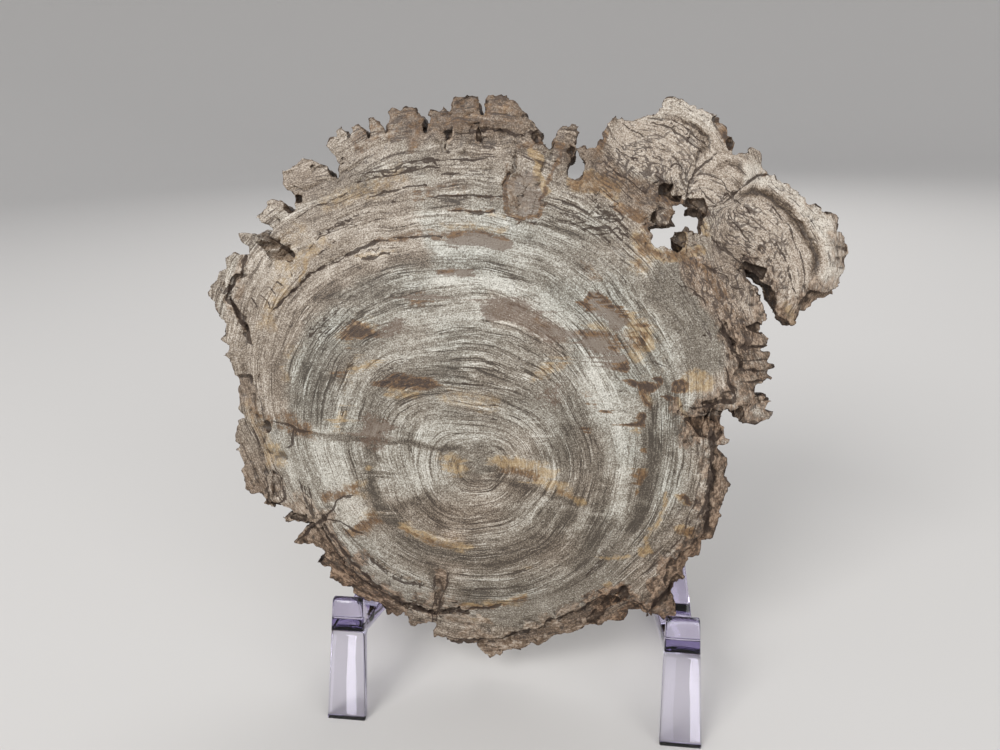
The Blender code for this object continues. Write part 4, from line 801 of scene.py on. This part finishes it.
def slice_mesh():
    """The slice with the solid's shape, and its weathering and the fields that colour it."""
    mesh = merged_copy("petrified_wood_slice")
    mesh.transform(TO_WORLD.inverted())
    mesh = modified(mesh, "REMESH", mode="VOXEL", voxel_size=VOXEL)
    points = weathered(coordinates(mesh), normals(mesh))
    mesh.vertices.foreach_set("co", points.astype(np.float32).ravel())
    mesh.update()
    triangles = sum(len(polygon.vertices) - 2 for polygon in mesh.polygons)
    facing = normals(mesh)[:, 2]
    weights = np.where(facing > 0.6, KEEP_FRONT, np.where(facing < -0.6, KEEP_BACK, KEEP_WALL))
    share = FACE_COUNT / triangles
    mesh = modified(mesh, "DECIMATE", weights, ratio=share, vertex_group_factor=KEEP_STRENGTH)
    points, normal = coordinates(mesh), normals(mesh)
    flat = flat_of(points)
    ring = ring_field(flat)
    fields = stain_fields(flat, ring)
    stained_bark = fields.pop("bark")
    for name, values in fields.items():
        keep(mesh, name, values)
    keep(mesh, "ring", ring)
    _, side, width = open_lines(flat, ring)
    keep(mesh, "line_side", side)
    keep(mesh, "line_width", width)
    # Where the pits are drawn as lit, the painted shade is lessened and the bark is paler
    lit_pale = np.zeros(len(points))
    for place in LIT_PALE_PITS:
        lit_pale = np.maximum(lit_pale, near(points, *place))
    # Painted shade in hollows: how far each point lies below its surroundings, less in the lit pits
    keep(mesh, "hollow_shade", (hollows(mesh, 3) * 2.0 + hollows(mesh, 30) * 0.8) * (1 - 0.7 * lit_pale))
    # Bark: near the rim, more where it is rough, and where the face has broken away
    rim = rim_distance(points, normal)
    bark_rough = at_angle(BARK_ROUGHNESS, np.arctan2(points[:, 1], points[:, 0]))
    near_rim = 1 - smooth(0.0, 3.0 + 7.0 * bark_rough, rim + value_noise(points, 5.0, 50) * 2.5)
    # Steep walls: they take the bark's colour, and painted shade in the material; less in the lit pits
    keep(mesh, "steep", (1 - smooth(0.4, 0.85, np.abs(normal[:, 2]))) * (1 - 0.5 * lit_pale))
    darkness = at_angle(BARK_DARKNESS, np.arctan2(points[:, 1], points[:, 0]))
    keep(mesh, "crust", darkness * (1 - 0.8 * lit_pale))
    # Depth below the front and back faces, which the material darkens as painted shade in recesses and
    # on walls
    sunk = np.clip(np.minimum(-points[:, 2], points[:, 2] + THICKNESS), 0, THICKNESS)
    bark = np.clip(near_rim * (0.1 + 0.7 * bark_rough), 0, 1)
    keep(mesh, "bark", np.maximum.reduce([bark, stained_bark, recesses(flat)[1]]))
    keep(mesh, "sunk", sunk)
    mesh.transform(TO_WORLD)
    return mesh


def stone_material():
    """Silicified wood, sawn and rubbed with grit: a satin face of cream and grey growth rings, peppered
    with dark grain, with brown bark that stays rough at the rim. Shade is painted into its hollows,
    recesses and walls."""
    material = bpy.data.materials.new("sawn_silicified_wood")
    material.use_nodes = True
    tree = material.node_tree
    shader = tree.nodes["Principled BSDF"]
    eased = {"interpolation_type": "SMOOTHSTEP"}

    place = add(tree, "TexCoord").outputs["Object"]
    turn = Euler((-(math.radians(90.0) - LEAN), 0.0, 0.0))
    start = -(turn.to_matrix() @ (PITH / FACE_MM))
    face = add(tree, "Mapping", {
        "Vector": place, "Location": start, "Rotation": turn, "Scale": (1 / FACE_MM,) * 3,
    })
    fields = {
        name: add(tree, "Attribute", attribute_name=name).outputs["Fac"] for name in (
            "ring", "shade", "warm", "calm", "ochre", "rust", "patch", "crackle", "line_side",
            "line_width", "bark", "crust", "steep", "sunk", "hollow_shade",
        )
    }
    rings = add(tree, "CombineXYZ", {"Z": fields["ring"]})

    def grain(along, across, detail, shift, gain, roughness=0.6):
        """Noise about zero, drawn out along the growth rings: its length and width in millimetres."""
        lifted = add(tree, "VectorMath", (
            rings, (0.0, 0.0, 1 / across), (shift, shift, shift),
        ), operation="MULTIPLY_ADD")
        vector = add(tree, "VectorMath", (
            face, (1 / along, 1 / along, 1 / 9.0), lifted,
        ), operation="MULTIPLY_ADD")
        noise = add(tree, "TexNoise", {
            "Vector": vector, "Scale": 1.0, "Detail": detail, "Roughness": roughness,
        })
        return add(tree, "Math", (noise, gain, -0.5 * gain), operation="MULTIPLY_ADD")

    # Growth rings: soft bands, streaks, and thin dark and pale lines where a noise passes through
    # zero. They are stronger in some zones than in others, and fade where the stone is calm.
    lines = grain(46.0, 1.3, 1.0, 7.0, 1.0)
    lines = add(tree, "MapRange", (lines, -0.11, -0.03, 0.11, -0.03), **eased)
    dark_rings, pale_rings = grain(70.0, 2.3, 2.0, 17.0, 1.0), grain(60.0, 2.0, 2.0, 31.0, 1.0)
    for noise, depth in ((dark_rings, 0.42), (pale_rings, -0.26)):
        thin = add(tree, "Math", (noise,), operation="ABSOLUTE")
        thin = add(tree, "MapRange", (thin, 0.008, 0.030, depth, 0.0), **eased)
        lines = add(tree, "Math", (lines, thin), operation="ADD")
    lines = add(tree, "Math", (lines, grain(18.0, 0.45, 1.0, 13.0, 0.42)), operation="ADD")
    strength = grain(22.0, 9.0, 2.0, 97.0, 1.0)
    strength = add(tree, "MapRange", (strength, -0.12, 0.12, 0.3, 1.15), **eased)
    zones = grain(17.0, 5.0, 3.0, 103.0, 1.0)
    zones = add(tree, "MapRange", (zones, -0.05, 0.05, -0.05, 0.05), **eased)
    lines = add(tree, "Math", (lines, strength, zones), operation="MULTIPLY_ADD")
    lines = add(tree, "Math", (lines, grain(80.0, 4.4, 2.0, 3.0, 0.4)), operation="ADD")
    fading = add(tree, "Math", (fields["calm"], -0.85, 1.0), operation="MULTIPLY_ADD")
    lines = add(tree, "Math", (lines, fading), operation="MULTIPLY")
    pepper = grain(0.62, 1.0, 1.0, 47.0, 1.3)
    shade = fields["shade"]
    for part in (lines, pepper, grain(3.4, 2.4, 3.0, 71.0, 0.45)):
        shade = add(tree, "Math", (shade, part), operation="ADD")

    # Stains are blotchy, and the rings show through them
    uneven = grain(3.0, 2.4, 4.0, 41.0, 1.1, 0.7)
    speckle = grain(1.1, 0.8, 2.0, 29.0, 0.9)
    tint = add(tree, "Math", (lines, -1.0, 0.5), operation="MULTIPLY_ADD")
    for part in (uneven, speckle):
        tint = add(tree, "Math", (tint, part), operation="ADD")
    blotch = grain(3.2, 2.6, 4.0, 19.0, 1.0, 0.75)
    blotch = add(tree, "MapRange", (blotch, -0.22, 0.22, 0.35, 1.5), **eased)
    for name in ("ochre", "rust", "patch"):
        fields[name] = add(tree, "Math", (fields[name], blotch), operation="MULTIPLY")
    patch = add(tree, "Math", (fields["patch"], speckle), operation="ADD")

    # Drawn-out pores, most of them in the outer rings
    pores = grain(9.0, 0.8, 1.0, 23.0, 1.0)
    pores = add(tree, "MapRange", (pores, 0.13, 0.17, 0.0, 1.0), **eased)
    outer = (fields["ring"], grain(14.0, 10.0, 2.0, 61.0, 60.0))
    outer = add(tree, "Math", outer, operation="ADD")
    outer = add(tree, "MapRange", (outer, 80.0, 122.0, 0.0, 1.0), **eased)
    pores = add(tree, "Math", (pores, outer), operation="MULTIPLY")

    # Open lines, with frayed edges
    crack = add(tree, "Math", (fields["line_side"],), operation="ABSOLUTE")
    crack = add(tree, "Math", (fields["line_width"], crack), operation="SUBTRACT")
    crack = add(tree, "Math", (crack, grain(1.3, 0.8, 2.0, 37.0, 0.7)), operation="ADD")
    crack = add(tree, "MapRange", (crack, -0.1, 0.1, 0.0, 1.0), **eased)

    # A net of fine cracks, broken up
    cell = add(tree, "VectorMath", (
        rings, (0.0, 0.0, 1 / 2.6), grain(5.0, 4.0, 2.0, 83.0, 1.6),
    ), operation="MULTIPLY_ADD")
    cell = add(tree, "VectorMath", (
        face, (1 / 6.0, 1 / 6.0, 1 / 9.0), cell,
    ), operation="MULTIPLY_ADD")
    crackle = add(tree, "TexVoronoi", {
        "Vector": cell, "Scale": 1.0,
    }, feature="DISTANCE_TO_EDGE")
    crackle = add(tree, "MapRange", (crackle, 0.05, 0.14, 1.0, 0.0), **eased)
    patchy = grain(5.0, 5.0, 2.0, 89.0, 1.0)
    patchy = add(tree, "MapRange", (patchy, -0.12, 0.02, 0.0, 1.0), **eased)
    for part in (patchy, fields["crackle"]):
        crackle = add(tree, "Math", (crackle, part), operation="MULTIPLY")

    # Bark breaks in flakes, and reaches into the face with an uneven edge
    flakes = (grain(1.4, 1.0, 3.0, 43.0, 1.0, 0.7), grain(5.0, 3.4, 3.0, 53.0, 1.2, 0.7))
    flakes = add(tree, "Math", flakes, operation="ADD")
    flakes = add(tree, "MapRange", (flakes, -0.24, 0.26, 0.0, 1.0), **eased)
    for name in ("bark", "steep"):
        edge = add(tree, "Math", (fields[name], uneven), operation="ADD")
        fields[name] = add(tree, "MapRange", (edge, 0.3, 0.7, 0.0, 1.0), **eased)
    rough = add(tree, "Math", (fields["bark"], fields["steep"]), operation="ADD")

    tones = {}
    for name, value, colours in (
        ("cool", shade, ("#dcdbd2", "#bbbab0", "#8d887c", "#665e52", "#41392e")),
        ("warm", shade, ("#ddd1c2", "#bdad9c", "#92806e", "#685746", "#3c2e22")),
        ("gold", tint, ("#5f482c", "#94774b", "#bb9f72", "#dac8a9")),
        ("russet", tint, ("#2a1b0f", "#50371f", "#7c5c39", "#aa8c62")),
        ("pale crust", flakes, ("#5d4835", "#8e7963", "#b7a592", "#d5cabb")),
        ("dark bark", flakes, ("#22160d", "#462f1e", "#73543b", "#a7896c")),
    ):
        tones[name] = add(tree, "ValToRGB", (value,))
        steps = tones[name].color_ramp.elements
        for _ in colours[2:]:
            steps.new(1.0)
        for index, colour in enumerate(colours):
            steps[index].position = index / (len(colours) - 1)
            steps[index].color = linear(colour)
    bark_tone = add(tree, "Mix", {
        0: fields["crust"], 6: tones["pale crust"], 7: tones["dark bark"],
    }, data_type="RGBA")

    # The ground of the stone, then what lies on it and the painted shade: (field, none from, full at,
    # most, blend, colour)
    flecks = grain(1.3, 0.8, 1.0, 59.0, 1.0)
    base = {0: fields["warm"], 6: tones["cool"], 7: tones["warm"]}
    base = add(tree, "Mix", base, data_type="RGBA")
    for field, low, high, most, blend, colour in (
        (flecks, 0.14, 0.21, 0.6, "MIX", "#43372d"),
        (fields["ochre"], 0.15, 0.9, 0.68, "MIX", tones["gold"]),
        (patch, 0.1, 0.35, 0.65, "MIX", "#5f4735"),
        (patch, 0.5, 0.8, 0.62, "MIX", "#83776a"),
        (fields["rust"], 0.12, 0.65, 0.88, "MIX", tones["russet"]),
        (fields["rust"], 0.8, 1.3, 0.75, "MIX", "#33231a"),
        (pores, 0.0, 1.0, 0.75, "MIX", "#3f2e22"),
        # painted shade, deeper in recesses and down the walls
        (fields["sunk"], 0.8, 3.0, 0.8, "MULTIPLY", "#cdbfb2"),
        (fields["bark"], 0.0, 1.0, 0.75, "MIX", bark_tone),
        (fields["steep"], 0.0, 1.0, 0.85, "MIX", bark_tone),
        # painted shade on steep walls
        (fields["steep"], 0.3, 1.0, 0.7, "MULTIPLY", "#7d6857"),
        # painted shade in hollows
        (fields["hollow_shade"], 0.12, 0.8, 0.8, "MIX", "#33251a"),
        (crackle, 0.0, 1.0, 0.8, "MIX", "#3b2b20"),
        (crack, 0.0, 1.0, 0.85, "MIX", "#34251b"),
    ):
        share = add(tree, "MapRange", (field, low, high, 0.0, most), **eased)
        base = {0: share, 6: base, 7: colour}
        base = add(tree, "Mix", base, data_type="RGBA", blend_type=blend)

    # Satin where the stone is sound, dull where it is bark
    dull = add(tree, "Math", (rough, crack), operation="ADD")
    dull = add(tree, "MapRange", (dull, 0.0, 1.0, 0.5, 0.8), **eased)
    dull = add(tree, "Math", (dull, grain(4.0, 4.0, 2.0, 53.0, 0.2)), operation="ADD")
    relief = add(tree, "Math", (lines, -0.5, pepper), operation="MULTIPLY_ADD")
    for part, height in ((crack, -0.8), (crackle, -0.8), (pores, -0.8), (flakes, rough)):
        relief = add(tree, "Math", (part, height, relief), operation="MULTIPLY_ADD")
    bump = add(tree, "Bump", {"Strength": 0.5, "Distance": 0.0003, "Height": relief})
    tree.links.new(base.outputs[2], shader.inputs["Base Color"])
    tree.links.new(dull.outputs[0], shader.inputs["Roughness"])
    tree.links.new(bump.outputs["Normal"], shader.inputs["Normal"])
    shader.inputs["IOR"].default_value = 1.54
    return material


def clear_plastic():
    """Injection-moulded polystyrene: water clear in a thin wall, violet where light goes a long way
    through it, with a gloss straight from the mould."""
    material = bpy.data.materials.new("clear_moulded_polystyrene")
    material.use_nodes = True
    tree = material.node_tree
    shader = tree.nodes["Principled BSDF"]
    shader.inputs["Base Color"].default_value = linear("#f6f4fc")
    shader.inputs["Roughness"].default_value = 0.03
    shader.inputs["IOR"].default_value = 1.55
    shader.inputs["Transmission Weight"].default_value = 1.0
    tint = add(tree, "VolumeAbsorption", {"Color": (0.36, 0.2, 0.78, 1.0), "Density": 15.0})
    tree.links.new(tint.outputs["Volume"], tree.nodes["Material Output"].inputs["Volume"])
    return material


def shown(name, mesh, material, node):
    """Puts a finished mesh in place of a solid."""
    mesh.name = name
    mesh.materials.clear()
    mesh.materials.append(material)
    piece = bpy.data.objects.new(name, mesh)
    bpy.context.scene.collection.objects.link(piece)
    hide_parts(node)
    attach(piece, "root")
    return piece


def bracket_mesh(node):
    """A bracket's own shape, smooth where it is moulded round."""
    mesh = merged_copy(node)
    mesh.shade_smooth()
    mesh.set_sharp_from_angle(angle=math.radians(28.0))
    return mesh


def studio():
    """A pale floor that curves up far away, and soft light."""
    shape = bmesh.new()
    bmesh.ops.create_circle(shape, cap_ends=True, segments=96, radius=FLOOR_REACH)
    edge = [e for e in shape.edges if e.is_boundary]
    for step in range(1, CURVE_STEPS + 1):
        turn = math.radians(90.0 * step / CURVE_STEPS)
        reach = FLOOR_REACH + CURVE_HEIGHT * math.sin(turn)
        height = CURVE_HEIGHT * (1 - math.cos(turn))
        made = bmesh.ops.extrude_edge_only(shape, edges=edge)["geom"]
        edge = [g for g in made if isinstance(g, bmesh.types.BMEdge)]
        for vert in (g for g in made if isinstance(g, bmesh.types.BMVert)):
            flat = vert.co.xy.normalized() * reach
            vert.co = (flat.x, flat.y, height)
    mesh = bpy.data.meshes.new("floor")
    shape.to_mesh(mesh)
    shape.free()
    mesh.shade_smooth()
    floor = bpy.data.objects.new("floor", mesh)
    bpy.context.scene.collection.objects.link(floor)
    pale = bpy.data.materials.new("pale_floor")
    pale.use_nodes = True
    paint = pale.node_tree.nodes["Principled BSDF"].inputs
    paint["Base Color"].default_value = linear("#cfccc8")
    paint["Roughness"].default_value = 0.8
    mesh.materials.append(pale)

    world = bpy.data.worlds.new("studio")
    world.use_nodes = True
    sky = world.node_tree.nodes["Background"].inputs
    sky["Color"].default_value = (0.93, 0.95, 1.0, 1.0)
    sky["Strength"].default_value = 0.55
    bpy.context.scene.world = world
    bpy.context.scene.view_settings.view_transform = "Standard"
    for name, place, size, power in (
        ("key", (-0.9, -1.3, 1.5), 1.0, 26.0),
        ("fill", (1.3, -1.2, 0.9), 1.2, 9.0),
        ("back", (0.2, 1.3, 1.2), 1.0, 8.0),
    ):
        light = bpy.data.lights.new(name, "AREA")
        light.size = size
        light.energy = power
        lamp = bpy.data.objects.new(name, light)
        lamp.location = place
        aim = LAMP_AIM - Vector(place)
        lamp.rotation_euler = aim.to_track_quat("-Z", "Y").to_euler()
        bpy.context.scene.collection.objects.link(lamp)


def photo_camera():
    """The camera, at the height, distance and slight roll from which the slice is seen."""
    lens = bpy.data.cameras.new("camera")
    lens.sensor_width = 36.0
    lens.lens = FOCAL_LENGTH
    lens.clip_start = 0.01
    camera = bpy.data.objects.new("camera", lens)
    look = CAMERA_AIM.to_track_quat("-Z", "Y").to_matrix().to_4x4()
    roll = Matrix.Rotation(CAMERA_ROLL, 4, "Z")
    camera.matrix_world = Matrix.Translation(CAMERA_PLACE) @ look @ roll
    bpy.context.scene.collection.objects.link(camera)
    bpy.context.scene.camera = camera


studio()
photo_camera()
slice_piece = shown(
    "petrified_wood_slice_stone", slice_mesh(), stone_material(), "petrified_wood_slice",
)
slice_piece.data.shade_smooth()
plastic = clear_plastic()
for side in ("left", "right"):
    node = "stand_bracket_" + side
    shown(node + "_clear", bracket_mesh(node), plastic, node)
